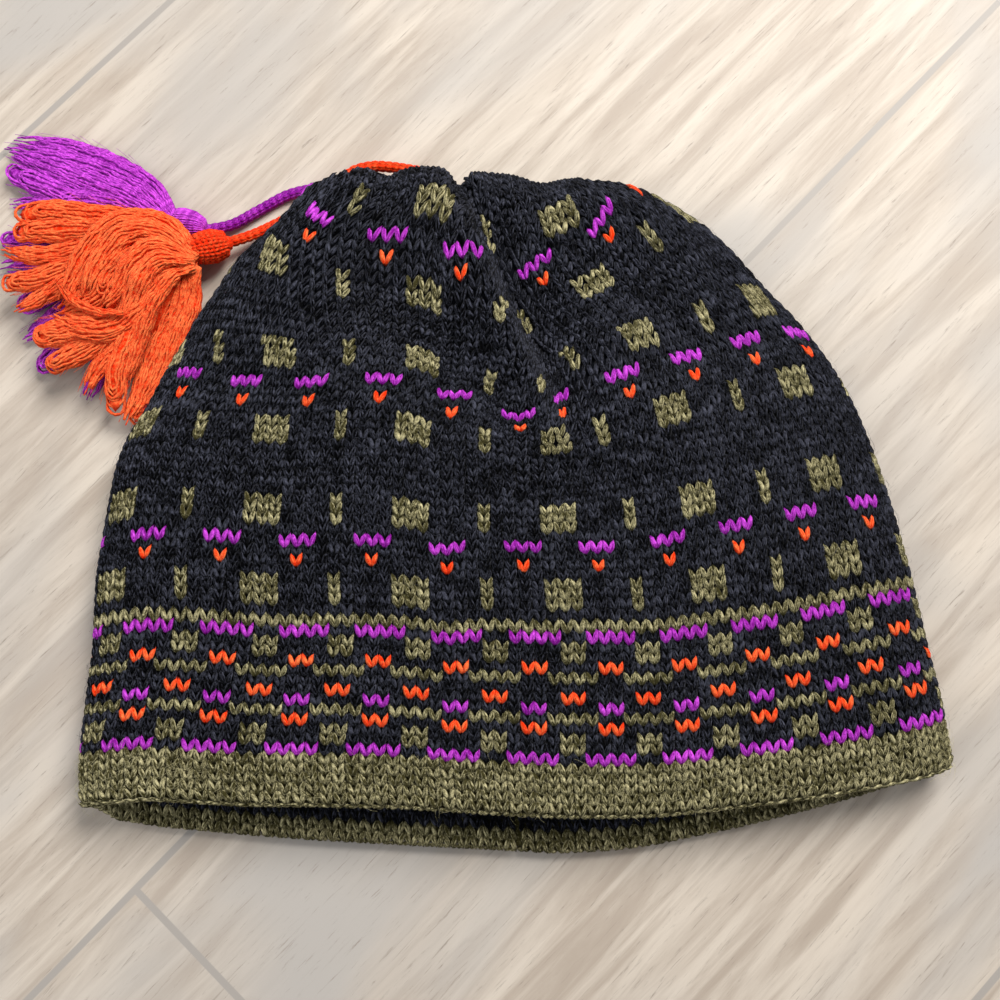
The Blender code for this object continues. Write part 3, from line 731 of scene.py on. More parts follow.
def stitch_places(u, points):
    """Where the stitches of a row stand: run round the hat, width and number of each."""
    run = np.zeros(len(points))
    run[1:] = np.cumsum(np.linalg.norm(np.diff(points, axis=0), axis=1))
    anchors = [np.interp(u, [row[0] for row in WALES], [row[i + 1] for row in WALES]) for i in range(5)]
    places = [np.interp(anchor, RING_A[RING_FRONT], run[RING_FRONT]) for anchor in anchors]
    pitch = min(max((places[1] - places[0]) / 12, NARROWEST), WIDEST)
    parts = [(places, WALE_STITCHES, 0.0, run[-1])]
    if u > 0 and (places[3] - places[1]) / 24 < CREASE_SQUEEZE * pitch:
        signed, ridge, _ = pleat_reading(points[RING_FRONT, 0], points[RING_FRONT, 1])
        crossing = np.where((np.diff(np.sign(signed)) != 0) & (ridge[1:] > 0))[0]
        crease = run[RING_FRONT][crossing[0]] if len(crossing) else places[1] + 12 * pitch
        left = ((places[0], places[1]), WALE_STITCHES[:2], 0.0, crease)
        right = ((places[3], places[4]), WALE_STITCHES[3:], crease, run[-1])
        parts = [left, right]
    numbers = np.arange(SEAM_STITCH + 0.5, SEAM_STITCH + STITCHES_ROUND)
    found = []
    for known_runs, known, low, high in parts:
        before = after = pitch
        if high < run[-1]:
            after = pitch * np.interp(u, SPREAD_ROWS, (1.0, LOBE_SPREAD))
        if low == 0.0:
            before = max(known_runs[0] / (known[0] - SEAM_STITCH), NARROWEST)
        if high == run[-1]:
            seam = SEAM_STITCH + STITCHES_ROUND
            after = max((run[-1] - known_runs[-1]) / (seam - known[-1]), WIDEST)
        place = np.interp(numbers, known, known_runs)
        place = np.where(numbers < known[0], known_runs[0] + (numbers - known[0]) * before, place)
        place = np.where(numbers > known[-1], known_runs[-1] + (numbers - known[-1]) * after, place)
        width = np.gradient(place)
        keep = (place > max(low, 0.4 * width[0])) & (place < min(high, run[-1] - 0.4 * width[-1]))
        if high < run[-1]:
            last = np.where(keep)[0][-CREASE_STITCHES:]
            spare = (high - place[last[-1]] - width[last[-1]] / 2) / CREASE_STITCHES
            place[last] += spare * (np.arange(CREASE_STITCHES) + 0.5)
            width[last] += spare
        if low > 0.0:
            last = np.where(keep)[0][:CREASE_STITCHES]
            spare = (place[last[0]] - width[last[0]] / 2 - low) / CREASE_STITCHES
            place[last] -= spare * (np.arange(CREASE_STITCHES) + 0.5)[::-1]
            width[last] += spare
        found.append(np.stack([place, width, numbers])[:, keep])
    return run, np.concatenate(found, axis=1)


# Centreline of a stitch's right leg from its tip to its head: shares of the stitch's width and of
# the row's height, then the rise over the cloth and the yarn's radius in leg radii.
LEG = (
    (0.04, -0.70, -0.85, 0.00),
    (0.11, -0.37, 0.00, 1.00),
    (0.24, 0.08, 0.28, 1.22),
    (0.36, 0.57, 0.12, 1.00),
    (0.43, 1.00, -0.90, 0.00),
)
LEG_SIDES = 5
LEG_WIDTH = 1.1
# Tone along each leg, with painted shade that darkens its tips where they dip under other stitches and a painted
# highlight where it rises highest. Round each leg, painted shade on the face turned out from the cloth and on its
# sides, and a faint painted highlight on the faces turned to the cloth.
LEG_TONE_WITH_PAINTED_SHADE = (0.0, 0.46, 0.62, 0.52, 0.0)
SIDE_PAINTED_SHADE_AND_HIGHLIGHT = (-0.50, -0.30, 0.08, 0.08, -0.30)
BRIGHT_LIFT = 0.18


def stitch_mesh(centres, widths, rises, outs, radius=LEG_RADIUS):
    """Points, faces, tones with painted shade and highlight, and UV of many stitches, each two closed legs."""
    count = len(centres)
    legs = []
    for mirror in (-1.0, 1.0):
        line = [centres + widths * mirror * x + rises * y + outs * radius * z for x, y, z, _ in LEG]
        rows = [line[0][:, None]]
        for i in range(1, len(LEG) - 1):
            along = line[i + 1] - line[i - 1]
            side = np.cross(outs, along)
            side /= np.linalg.norm(side, axis=1)[:, None]
            over = np.cross(along, side)
            over /= np.linalg.norm(over, axis=1)[:, None]
            for k in range(LEG_SIDES):
                angle = 2 * math.pi * k / LEG_SIDES - math.pi / 2
                ring = side * LEG_WIDTH * math.cos(angle) + over * math.sin(angle)
                rows.append((line[i] - ring * radius * LEG[i][3])[:, None])
        rows.append(line[-1][:, None])
        legs.append(np.concatenate(rows, axis=1))
    points = np.concatenate(legs, axis=1)
    last = points.shape[1] // 2 - 1
    leg_faces = []
    for k in range(LEG_SIDES):
        j = (k + 1) % LEG_SIDES
        leg_faces.append((0, 1 + j, 1 + k))
        for row in range(len(LEG) - 3):
            start = 1 + row * LEG_SIDES
            leg_faces.append((start + k, start + j, start + LEG_SIDES + j, start + LEG_SIDES + k))
        leg_faces.append((last - LEG_SIDES + k, last - LEG_SIDES + j, last))
    faces = []
    for leg in range(2 * count):
        first = leg * (last + 1)
        faces += [tuple(first + corner for corner in face) for face in leg_faces]
    uv = [(0.5, 0.0)]
    tones = [LEG_TONE_WITH_PAINTED_SHADE[0]]
    for row in range(1, len(LEG) - 1):
        uv += [(k / LEG_SIDES, row / (len(LEG) - 1)) for k in range(LEG_SIDES)]
        tones += [LEG_TONE_WITH_PAINTED_SHADE[row] + shift for shift in SIDE_PAINTED_SHADE_AND_HIGHLIGHT]
    uv.append((0.5, 1.0))
    tones.append(LEG_TONE_WITH_PAINTED_SHADE[-1])
    return points.reshape(-1, 3), faces, np.tile(tones, 2 * count), np.tile(uv, (2 * count, 1))


def knit_row(u, fits, below, middle, above, chance):
    """Centres, widths, rises, outward directions and numbers of the stitches of one row."""
    run, (place, width, number) = stitch_places(u, middle)
    place = place + chance.normal(0, 0.00008, len(place))

    def at(points, where):
        return np.stack([np.interp(where, run, points[:, axis]) for axis in range(3)], axis=1)

    across = at(middle, place + width / 2) - at(middle, place - width / 2)
    rise = at(above, place) - at(below, place)
    whole = np.interp(place, run, fits) > 0.99
    place, across, rise, number = place[whole], across[whole], rise[whole], number[whole]
    rise *= np.minimum(1.0, TALLEST / np.linalg.norm(rise, axis=1))[:, None]
    out = np.cross(across, rise)
    out /= np.linalg.norm(out, axis=1)[:, None]
    centre = at(middle, place) + rise * chance.normal(0, 0.02, len(place))[:, None]
    return centre, across, rise, out, number.astype(int)


def make_knit(name, rows, finishes, finish_of):
    """One object of stitches: rows of row number, where the row fits, then the points half a row
    under it, on it and half a row over it."""
    chance = np.random.default_rng(abs(rows[0][0]) + 7)
    parts = []
    yarns = []
    for u, fits, below, middle, above in rows:
        centre, across, rise, out, number = knit_row(u, fits, below, middle, above, chance)
        parts.append((centre, across, rise, out))
        yarns += [finish_of(u, stitch) for stitch in number]
    centre, across, rise, out = (np.concatenate(column) for column in zip(*parts))
    points, faces, tones, uv = stitch_mesh(centre, across, rise, out)
    per_stitch = len(points) // len(yarns)
    lifts = np.where(np.isin(yarns, (VIOLET, ORANGE)), BRIGHT_LIFT, 0.0)
    tones = tones + np.repeat(lifts + chance.normal(0, 0.06, len(yarns)), per_stitch)
    uv = uv + np.repeat(chance.random((len(yarns), 2)), per_stitch, axis=0)
    face_finish = np.repeat(yarns, len(faces) // len(yarns))
    piece = fill_mesh(name, points, faces, finishes, face_finish, {"tone": tones}, uv)
    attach(piece, "root")
    return piece


def crown_row(u):
    """Row of the crown with the points half a row under and over it, short of the top edge."""
    shares = [row_t(u + step) for step in (-0.5, 0.0, 0.5)]
    below, middle, above = (ring_points(np.minimum(t, 1.0), STITCH_DEPTH) for t in shares)
    return u, shares[2] <= LAST_SHARE, below, middle, above


def crown_yarn(u, stitch):
    return CHART.get((u, stitch % 12), CHARCOAL)


for piece_name, first_row, end_row in (
    ("border_knit", -13, 0),
    ("lower_crown_knit", 0, 25),
    ("upper_crown_knit", 25, TOP_ROW),
):
    rows = [crown_row(u) for u in range(first_row, end_row)]
    crown_knit = make_knit(piece_name, rows, YARNS, crown_yarn)
    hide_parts("crown")

# Hem: the olive edge of the hat, knitted on round the crown and turned under itself, so that the
# mouth has a soft double edge. Its rows go down the outside, round the edge and up the inside,
# where the last rows are charcoal as painted shade inside the mouth.
EDGE_RADIUS = HEM_WALL / 2
HEM_DROP = HEM_SHARE * CLOTH_RUN - EDGE_RADIUS
HEM_BEND = math.pi * (EDGE_RADIUS - STITCH_DEPTH)
HEM_RUN = 2 * HEM_DROP + HEM_BEND
HEM_ROWS = 11
HEM_PAINTED_SHADE_ROW = -22
HEM_CORE_INSET = 0.0013
HEM_CORE_STEPS = 24


def hem_points(run, inset):
    """Points round the hem at a run down its outside, round the edge and up its inside."""
    if run < HEM_DROP:
        return ring_points((EDGE_RADIUS + HEM_DROP - run) / CLOTH_RUN, inset)
    if run > HEM_DROP + HEM_BEND:
        return ring_points((EDGE_RADIUS + run - HEM_DROP - HEM_BEND) / CLOTH_RUN, HEM_WALL - inset)
    turn = (run - HEM_DROP) / (EDGE_RADIUS - STITCH_DEPTH)
    depth = EDGE_RADIUS - (EDGE_RADIUS - inset) * math.sin(turn)
    return ring_points(depth / CLOTH_RUN, EDGE_RADIUS - (EDGE_RADIUS - inset) * math.cos(turn))


rows = []
for row in range(HEM_ROWS):
    runs = [(row + 0.5 + step) * HEM_RUN / HEM_ROWS for step in (0.5, 0.0, -0.5)]
    rows.append((-14 - row, np.ones(len(RING_A)), *[hem_points(run, STITCH_DEPTH) for run in runs]))


# Painted shade: the rows furthest up the inside of the hem are charcoal, not olive, for the deep shade inside the
# mouth.
def hem_yarn_with_painted_shade(u, stitch):
    return 0 if u > HEM_PAINTED_SHADE_ROW else 1


hem_knit = make_knit("hem_knit", rows, (olive, charcoal), hem_yarn_with_painted_shade)
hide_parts("brim")

core_points = []
core_faces = []
for row, run in enumerate(np.linspace(0, HEM_RUN, HEM_CORE_STEPS)):
    core_points += list(hem_points(run, HEM_CORE_INSET)[ring_pick])
    if row:
        core_faces += quads_between((row - 1) * shell_count, row * shell_count, shell_count, flip=True)
core_faces += quads_between((HEM_CORE_STEPS - 1) * shell_count, 0, shell_count, flip=True)
# Painted shade: the core under the hem's stitches gets the darkest olive tone, for the gaps between them.
hem_core_painted_shade = np.full(len(core_points), 0.05)
core_uv = np.zeros((len(core_points), 2))
hem_cloth = fill_mesh("hem_cloth", core_points, core_faces, [olive], None, {"tone": hem_core_painted_shade}, core_uv)
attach(hem_cloth, "root")
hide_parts("brim")

# Cords: two narrow tubes knitted in violet and orange wool, which come from the gather behind the
# top edge and each end in the neck of a tassel.
CORD_DIAMETER = 0.003
CURVE_STEPS = 12
VIOLET_ROUTE = (
    (-0.240, 0.971, 1.00),
    (-0.292, 0.966, 0.53),
    (-0.376, 0.971, 0.53),
    (-0.464, 0.980, 0.53),
    (-0.560, 0.961, 0.53),
    (-0.640, 0.907, 0.60),
    (-0.704, 0.859, 0.80),
    (-0.760, 0.837, 1.20),
)
ORANGE_ROUTE = (
    (-0.240, 1.010, 2.27),
    (-0.296, 1.026, 1.93),
    (-0.352, 1.032, 1.80),
    (-0.404, 1.015, 1.77),
    (-0.436, 0.974, 1.70),
    (-0.472, 0.935, 1.07),
    (-0.528, 0.905, 0.57),
    (-0.592, 0.863, 0.73),
    (-0.648, 0.820, 1.33),
    (-0.704, 0.788, 1.89),
)
CORD_WALES = 4
CORD_ROW = 0.0022
CORD_LEG_RADIUS = 0.00050
CORD_CORE = 0.75


def placed(point):
    """A place in shares of half the width, half the length and the cord's diameter."""
    return np.array([point[0] * HALF_WIDTH, point[1] * HALF_LENGTH, point[2] * CORD_DIAMETER])


def smooth_route(route, spacing):
    """Evenly spaced points on a smooth curve through the route points."""
    route = np.array(route)
    ends = np.concatenate([[2 * route[0] - route[1]], route, [2 * route[-1] - route[-2]]])
    fine = []
    for p0, p1, p2, p3 in zip(ends, ends[1:], ends[2:], ends[3:]):
        for k in range(CURVE_STEPS):
            u = k / CURVE_STEPS
            bend = (2 * p0 - 5 * p1 + 4 * p2 - p3) * u**2 + (3 * p1 - p0 - 3 * p2 + p3) * u**3
            fine.append(0.5 * (2 * p1 + (p2 - p0) * u + bend))
    fine.append(route[-1])
    return even_points(np.array(fine), spacing)


def even_points(line, spacing, least=2):
    """The same line with its points evenly apart."""
    run = np.zeros(len(line))
    run[1:] = np.cumsum(np.linalg.norm(np.diff(line, axis=0), axis=1))
    count = max(round(run[-1] / spacing), least)
    places = np.linspace(0, run[-1], count + 1)
    return np.stack([np.interp(places, run, line[:, axis]) for axis in range(3)], axis=1)


def line_frames(line):
    """Direction, side and upward vector at each point, turned as little as possible."""
    along = np.gradient(line, axis=0)
    along /= np.linalg.norm(along, axis=1)[:, None]
    side = np.cross(along[0], (0.0, 0.0, 1.0))
    if np.linalg.norm(side) < 0.01:
        side = np.array([1.0, 0.0, 0.0])
    sides = []
    for direction in along:
        side = side - direction * side.dot(direction)
        side = side / np.linalg.norm(side)
        sides.append(side)
    sides = np.array(sides)
    return along, sides, np.cross(sides, along)


def tube_mesh(line, radii, sides, turn=0.0):
    """Points, faces and UV of a closed tube with pointed ends."""
    along, side, over = line_frames(line)
    radii = radii + np.zeros(len(line))
    angles = 2 * np.pi * np.arange(sides) / sides - np.pi / 2 + turn
    spokes = side[:, None] * np.cos(angles)[:, None] + over[:, None] * np.sin(angles)[:, None]
    points = (line[:, None] + spokes * radii[:, None, None]).reshape(-1, 3)
    start = line[0] - along[0] * radii[0] * 0.6
    end = line[-1] + along[-1] * radii[-1] * 0.6
    faces = []
    for row in range(len(line) - 1):
        faces += quads_between(row * sides, (row + 1) * sides, sides)
    top = (len(line) - 1) * sides
    cap = len(points)
    for k in range(sides):
        j = (k + 1) % sides
        faces.append((cap, j, k))
        faces.append((top + k, top + j, cap + 1))
    run = np.zeros(len(line))
    run[1:] = np.cumsum(np.linalg.norm(np.diff(line, axis=0), axis=1))
    uv = [(k / sides, length / 0.004) for length in run for k in range(sides)]
    uv += [(0.5, 0.0), (0.5, run[-1] / 0.004)]
    return np.concatenate([points, [start, end]]), faces, uv


def tube_stitches(line, radii, row_height, wales, leg_radius):
    """Stitches in rows along a knitted tube and wales round it."""
    even = even_points(line, row_height)
    radii = np.interp(np.linspace(0, 1, len(even)), np.linspace(0, 1, len(line)), radii + np.zeros(len(line)))
    along, side, over = line_frames(even)
    centres, widths, rises, outs = [], [], [], []
    for row in range(len(even)):
        for wale in range(wales):
            angle = 2 * math.pi * (wale + 0.5) / wales
            out = side[row] * math.cos(angle) + over[row] * math.sin(angle)
            around = over[row] * math.cos(angle) - side[row] * math.sin(angle)
            reach = radii[row] - leg_radius
            centres.append(even[row] + out * reach)
            widths.append(around * reach * 2 * math.sin(math.pi / wales))
            rises.append(along[row] * row_height)
            outs.append(out)
    return stitch_mesh(*(np.array(list_) for list_ in (centres, widths, rises, outs)), leg_radius)


def join_meshes(parts):
    """One mesh from parts of points, faces, tones and UV."""
    faces = []
    first = 0
    for points, part_faces, _, _ in parts:
        faces += [tuple(first + corner for corner in face) for face in part_faces]
        first += len(points)
    return np.concatenate([part[0] for part in parts]), faces, \
        np.concatenate([part[2] for part in parts]), np.concatenate([np.asarray(part[3]) for part in parts])


def knitted_tube(line, radii, row_height, wales, leg_radius):
    points, faces, uv = tube_mesh(line, radii * CORD_CORE, 8)
    # Painted shade: the core inside the knitted tube gets a dark tone, for the gaps between its stitches.
    core = (points, faces, np.full(len(points), 0.12), uv)
    return [core, tube_stitches(line, radii, row_height, wales, leg_radius)]


cords = {}
for cord_name, route, yarn in (("violet", VIOLET_ROUTE, violet), ("orange", ORANGE_ROUTE, orange)):
    line = smooth_route([placed(point) for point in route], CORD_DIAMETER / 2)
    parts = knitted_tube(line, np.full(len(line), CORD_DIAMETER / 2), CORD_ROW, CORD_WALES, CORD_LEG_RADIUS)
    points, faces, tones, uv = join_meshes(parts)
    cord = fill_mesh(cord_name + "_cord_knit", points, faces, [yarn], None, {"tone": tones}, uv)
    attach(cord, "root")
    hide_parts(cord_name + "_cord")
    cords[cord_name] = (cord, line)

# Tassels: a bundle of wool strands bound in a neck where the cord ends, some of them long loops
# and some cut. The orange one lies over the violet one.
TASSEL_LENGTH = 0.058
VIOLET_LOCKS = (
    (138.0, 150.0, 0.92, 0.164, 0.33, 0.07),
    (152.0, 157.0, 1.02, 0.224, 0.33, 0.07),
    (168.0, 168.0, 1.00, 0.190, 0.33, 0.07),
    (184.0, 184.0, 0.98, 0.110, 0.27, 0.07),
    (198.0, 202.0, 0.96, 0.103, 0.20, 0.07),
    (210.0, 222.0, 0.96, 0.100, 0.17, 0.07),
    (220.0, 242.0, 0.98, 0.097, 0.17, 0.07),
)
ORANGE_LOCKS = (
    (156.0, 174.0, 0.88, 0.190, 2.67, 2.87),
    (168.0, 183.0, 1.00, 0.241, 2.33, 2.87),
    (183.0, 197.0, 0.98, 0.259, 1.83, 2.87),
    (198.0, 213.0, 0.93, 0.267, 1.50, 2.87),
    (214.0, 232.0, 0.94, 0.259, 1.17, 2.80),
    (230.0, 250.0, 0.92, 0.241, 0.67, 2.40),
    (250.0, 265.0, 0.82, 0.198, 0.33, 0.33),
)
NECK_SECTIONS = (
    (0.00, 0.40),
    (0.12, 0.78),
    (0.45, 1.00),
    (0.80, 0.92),
    (1.00, 0.74),
)
VIOLET_NECK = ((-0.772, 0.831, 1.33), 159.0, 0.164, 0.074, 1.80)
ORANGE_NECK = ((-0.708, 0.785, 1.93), 200.0, 0.172, 0.090, 3.07)
FAN_ROWS = 7
FAN_SWEEP = 1.5
LOCK_NOTCH = 0.17
LOCK_GROOVE = 0.36
LOCK_ROOT = 0.70
LOCK_FULLEST = 0.36
TIP_TAPER = 2.5
TIP_BLUNTNESS = 0.02
CROSSING_SHARE = 0.22
FAN_EDGE = 0.30
NECK_EDGE = 0.08


def blend(value, low, high):
    share = min(max((value - low) / (high - low), 0.0), 1.0)
    return share * share * (3 - 2 * share)


def lock_reading(locks, share, column):
    place = share * (len(locks) - 1)
    low = min(int(place), len(locks) - 2)
    part = blend(place - low, 0.0, 1.0)
    return locks[low][column] + (locks[low + 1][column] - locks[low][column]) * part


def tassel_line(locks, neck, share):
    """Upper and lower line from the cord to the tip at a share across the tassel."""
    entry, bearing, length_share, radius_share, root_height = neck
    start = placed(entry)
    length = length_share * TASSEL_LENGTH
    radius = radius_share * TASSEL_LENGTH
    heading = math.radians(bearing)
    ahead = (math.cos(heading), math.sin(heading))
    across = (math.sin(heading), -math.cos(heading))
    offset = 1 - 2 * share
    edge = math.sqrt(max(1 - offset**2, 0.0))
    upper = []
    lower = []
    for along, width in NECK_SECTIONS:
        x = start[0] + ahead[0] * along * length + across[0] * offset * radius * width
        y = start[1] + ahead[1] * along * length + across[1] * offset * radius * width
        z = start[2] + (root_height * CORD_DIAMETER - start[2]) * along
        half = radius * width * max(edge, NECK_EDGE)
        upper.append((x, y, z + half))
        lower.append((x, y, z - half))
    between = 1 - abs(math.cos(math.pi * share * (len(locks) - 1)))
    first = math.radians(lock_reading(locks, share, 0))
    last = math.radians(lock_reading(locks, share, 1))
    reach = TASSEL_LENGTH * lock_reading(locks, share, 2) * (1 - LOCK_NOTCH * between)
    height = TASSEL_LENGTH * lock_reading(locks, share, 3)
    root_clearance = CORD_DIAMETER * lock_reading(locks, share, 4)
    tip_clearance = CORD_DIAMETER * lock_reading(locks, share, 5)
    for row in range(1, FAN_ROWS + 1):
        run = row / FAN_ROWS
        angle = first + (last - first) * ((row - 0.5) / FAN_ROWS) ** FAN_SWEEP
        x += math.cos(angle) * reach / FAN_ROWS
        y += math.sin(angle) * reach / FAN_ROWS
        crossed = blend(run, 0.0, CROSSING_SHARE)
        under = root_clearance + (tip_clearance - root_clearance) * crossed
        body = height * (1 - LOCK_GROOVE * between * min(3 * run, 1.0))
        body *= LOCK_ROOT + (1 - LOCK_ROOT) * math.sin(math.pi * min(run / (2 * LOCK_FULLEST), 1.0))
        body *= math.sqrt(1 + TIP_BLUNTNESS - run**TIP_TAPER)
        body *= FAN_EDGE + (1 - FAN_EDGE) * edge
        upper.append((x, y, under + body))
        lower.append((x, y, under))
    return np.array(upper), np.array(lower)


STRAND_RADIUS = 0.00043
STRAND_SIDES = 4
STRAND_STEP = 0.0013
STRAND_SPACING = 0.78
STRAND_WANDER = 0.10
WAVE_LENGTH = 0.0044
WAVE_DEPTH = 0.00019
CORE_SHRINK = 0.62
CORE_STEPS = 24
LOCK_PLUMPNESS = 0.65
LOWEST_STRAND = -0.45
LEVEL_SMOOTHING = 4
LOOPED_WIDTHS = (0.45, 0.85, 1.00, 1.00, 0.80)
CUT_WIDTHS = (0.45, 0.90, 1.00, 0.90, 0.35)
BODY_RUN = (0.0, 0.82, 1.0)
LOOPED_BODY = (1.0, 1.0, 0.75)
CUT_BODY = (1.0, 1.0, 0.15)
HAIR_RADIUS = 0.00006
HAIRS = 14

# Locks of strands in each tassel, from the lowest to the topmost: half width as a share of the
# tassel's length, whether its strands are uncut loops, height in the tassel at the root and at
# the tip from 0 to 1, then five places along it in shares of the tassel's length from the cord.
VIOLET_BUNDLES = (
    (0.060, False, 0.30, 0.35, (-0.29, -0.16), (-0.38, -0.39), (-0.47, -0.58), (-0.53, -0.75), (-0.60, -0.92)),
    (0.060, True, 0.30, 0.35, (-0.34, -0.17), (-0.49, -0.36), (-0.63, -0.52), (-0.74, -0.64), (-0.82, -0.73)),
    (0.060, False, 0.30, 0.35, (-0.34, -0.11), (-0.52, -0.25), (-0.68, -0.40), (-0.82, -0.51), (-0.96, -0.59)),
    (0.065, True, 0.30, 0.35, (-0.34, -0.07), (-0.53, -0.15), (-0.70, -0.25), (-0.83, -0.34), (-0.95, -0.41)),
    (0.065, False, 0.30, 0.35, (-0.29, -0.03), (-0.51, -0.07), (-0.71, -0.12), (-0.90, -0.16), (-1.11, -0.20)),
    (0.060, True, 0.30, 0.35, (-0.29, 0.01), (-0.50, 0.02), (-0.69, 0.01), (-0.87, -0.02), (-1.06, -0.04)),
    (0.045, False, 0.30, 0.30, (-0.29, 0.04), (-0.50, 0.09), (-0.68, 0.13), (-0.87, 0.17), (-1.08, 0.17)),
    (0.060, True, 0.30, 0.40, (-0.29, 0.07), (-0.49, 0.13), (-0.69, 0.18), (-0.89, 0.26), (-1.06, 0.34)),
    (0.055, False, 0.40, 0.50, (-0.16, 0.05), (-0.29, 0.24), (-0.49, 0.37), (-0.75, 0.47), (-1.08, 0.54)),
    (0.050, False, 0.50, 0.50, (-0.16, 0.03), (-0.32, 0.20), (-0.54, 0.32), (-0.78, 0.41), (-1.13, 0.49)),
    (0.060, False, 0.60, 0.55, (-0.15, 0.01), (-0.34, 0.13), (-0.55, 0.24), (-0.79, 0.34), (-1.10, 0.47)),
    (0.065, True, 0.62, 0.55, (-0.16, -0.01), (-0.34, 0.07), (-0.54, 0.13), (-0.71, 0.17), (-0.80, 0.16)),
)
ORANGE_BUNDLES = (
    (0.070, False, 0.30, 0.35, (-0.39, -0.13), (-0.53, -0.23), (-0.65, -0.32), (-0.75, -0.37), (-0.86, -0.42)),
    (0.070, False, 0.30, 0.35, (-0.44, -0.07), (-0.60, -0.13), (-0.73, -0.21), (-0.84, -0.27), (-0.94, -0.34)),
    (0.070, False, 0.30, 0.35, (-0.33, -0.23), (-0.43, -0.39), (-0.53, -0.53), (-0.60, -0.62), (-0.67, -0.70)),
    (0.055, True, 0.75, 0.45, (-0.17, -0.13), (-0.18, -0.32), (-0.25, -0.54), (-0.35, -0.76), (-0.45, -0.94)),
    (0.045, False, 0.30, 0.40, (-0.38, -0.28), (-0.49, -0.46), (-0.56, -0.60), (-0.64, -0.70), (-0.71, -0.84)),
    (0.060, True, 0.40, 0.50, (-0.24, -0.17), (-0.37, -0.35), (-0.48, -0.54), (-0.54, -0.73), (-0.55, -0.89)),
    (0.055, False, 0.35, 0.45, (-0.22, -0.15), (-0.27, -0.36), (-0.36, -0.58), (-0.43, -0.79), (-0.50, -0.99)),
    (0.050, False, 0.30, 0.40, (-0.45, -0.01), (-0.67, -0.04), (-0.83, -0.09), (-1.00, -0.10), (-1.18, -0.06)),
    (0.055, True, 0.30, 0.40, (-0.52, -0.07), (-0.69, -0.13), (-0.86, -0.19), (-0.99, -0.23), (-1.12, -0.24)),
    (0.040, False, 0.30, 0.45, (-0.60, -0.13), (-0.76, -0.21), (-0.89, -0.28), (-0.98, -0.34), (-1.09, -0.40)),
    (0.070, True, 0.35, 0.45, (-0.20, -0.07), (-0.49, 0.07), (-0.70, 0.10), (-0.90, 0.14), (-1.05, 0.13)),
    (0.060, True, 0.35, 0.45, (-0.20, -0.09), (-0.46, 0.03), (-0.68, 0.03), (-0.89, 0.03), (-1.07, 0.03)),
    (0.060, True, 0.30, 0.40, (-0.45, -0.40), (-0.57, -0.51), (-0.68, -0.59), (-0.78, -0.64), (-0.86, -0.68)),
    (0.070, True, 0.30, 0.45, (-0.54, -0.43), (-0.68, -0.49), (-0.80, -0.51), (-0.88, -0.52), (-0.94, -0.54)),
    (0.075, False, 0.55, 0.60, (-0.31, -0.30), (-0.44, -0.42), (-0.58, -0.50), (-0.73, -0.49), (-0.89, -0.43)),
    (0.045, True, 0.45, 0.55, (-0.41, -0.08), (-0.48, -0.13), (-0.54, -0.20), (-0.58, -0.25), (-0.60, -0.30)),
    (0.050, False, 0.80, 0.60, (-0.15, -0.15), (-0.19, -0.28), (-0.27, -0.47), (-0.34, -0.67), (-0.42, -0.86)),
    (0.050, False, 0.70, 0.60, (-0.15, -0.16), (-0.25, -0.21), (-0.36, -0.38), (-0.44, -0.58), (-0.51, -0.80)),
    (0.050, False, 0.75, 0.62, (-0.15, -0.13), (-0.31, -0.16), (-0.41, -0.30), (-0.48, -0.45), (-0.54, -0.61)),
    (0.045, False, 0.72, 0.62, (-0.16, -0.11), (-0.32, -0.08), (-0.45, -0.18), (-0.52, -0.31), (-0.60, -0.41)),
    (0.055, False, 0.80, 0.60, (-0.14, -0.13), (-0.31, -0.01), (-0.49, -0.02), (-0.62, -0.18), (-0.71, -0.37)),
    (0.060, False, 0.85, 0.50, (-0.13, -0.11), (-0.30, 0.05), (-0.53, 0.05), (-0.70, -0.12), (-0.83, -0.38)),
    (0.017, False, 0.95, 0.80, (-0.48, -0.44), (-0.58, -0.44), (-0.67, -0.41), (-0.76, -0.36), (-0.83, -0.27)),
)


def tassel_core(locks, neck):
    """Closed body inside the strands, in the form of the whole tassel but lower and shorter, with a darker tone as
    painted shade between the strands.
    """
    uppers, lowers = [], []
    for share in np.linspace(0.03, 0.97, CORE_STEPS + 1):
        upper, lower = tassel_line(locks, neck, share)
        upper, lower = upper[:-3], lower[:-3]
        upper[:, 2] -= CORE_SHRINK * (upper[:, 2] - lower[:, 2])
        uppers.append(upper)
        lowers.append(lower)
    rows = len(uppers[0])
    points = np.concatenate(uppers + lowers)
    below = len(uppers) * rows
    faces = []
    for f in range(CORE_STEPS):
        base = f * rows
        for row in range(rows - 1):
            a = base + row
            b = a + rows
            faces.append((a, a + 1, b + 1, b))
            faces.append((below + b, below + b + 1, below + a + 1, below + a))
        tip = base + rows - 1
        faces.append((tip, below + tip, below + tip + rows, tip + rows))
        faces.append((base + rows, below + base + rows, below + base, base))
    for row in range(rows - 1):
        last = CORE_STEPS * rows + row
        faces.append((row, below + row, below + row + 1, row + 1))
        faces.append((last, last + 1, below + last + 1, below + last))
    return points, faces, np.full(len(points), 0.25), np.zeros((len(points), 2))


def fan_heights(locks, neck):
    """Lowest and highest place of the whole tassel near any point in plan."""
    lines = [tassel_line(locks, neck, share) for share in np.linspace(0, 1, CORE_STEPS + 1)]
    upper = np.concatenate([line[0] for line in lines])
    lower = np.concatenate([line[1] for line in lines])

    def heights(places):
        gap = np.linalg.norm(places[:, None] - upper[None, :, :2], axis=2)
        weight = 1 / (gap + 0.0008) ** 4
        weight /= weight.sum(axis=1)[:, None]
        return weight @ lower[:, 2], weight @ upper[:, 2]

    return heights


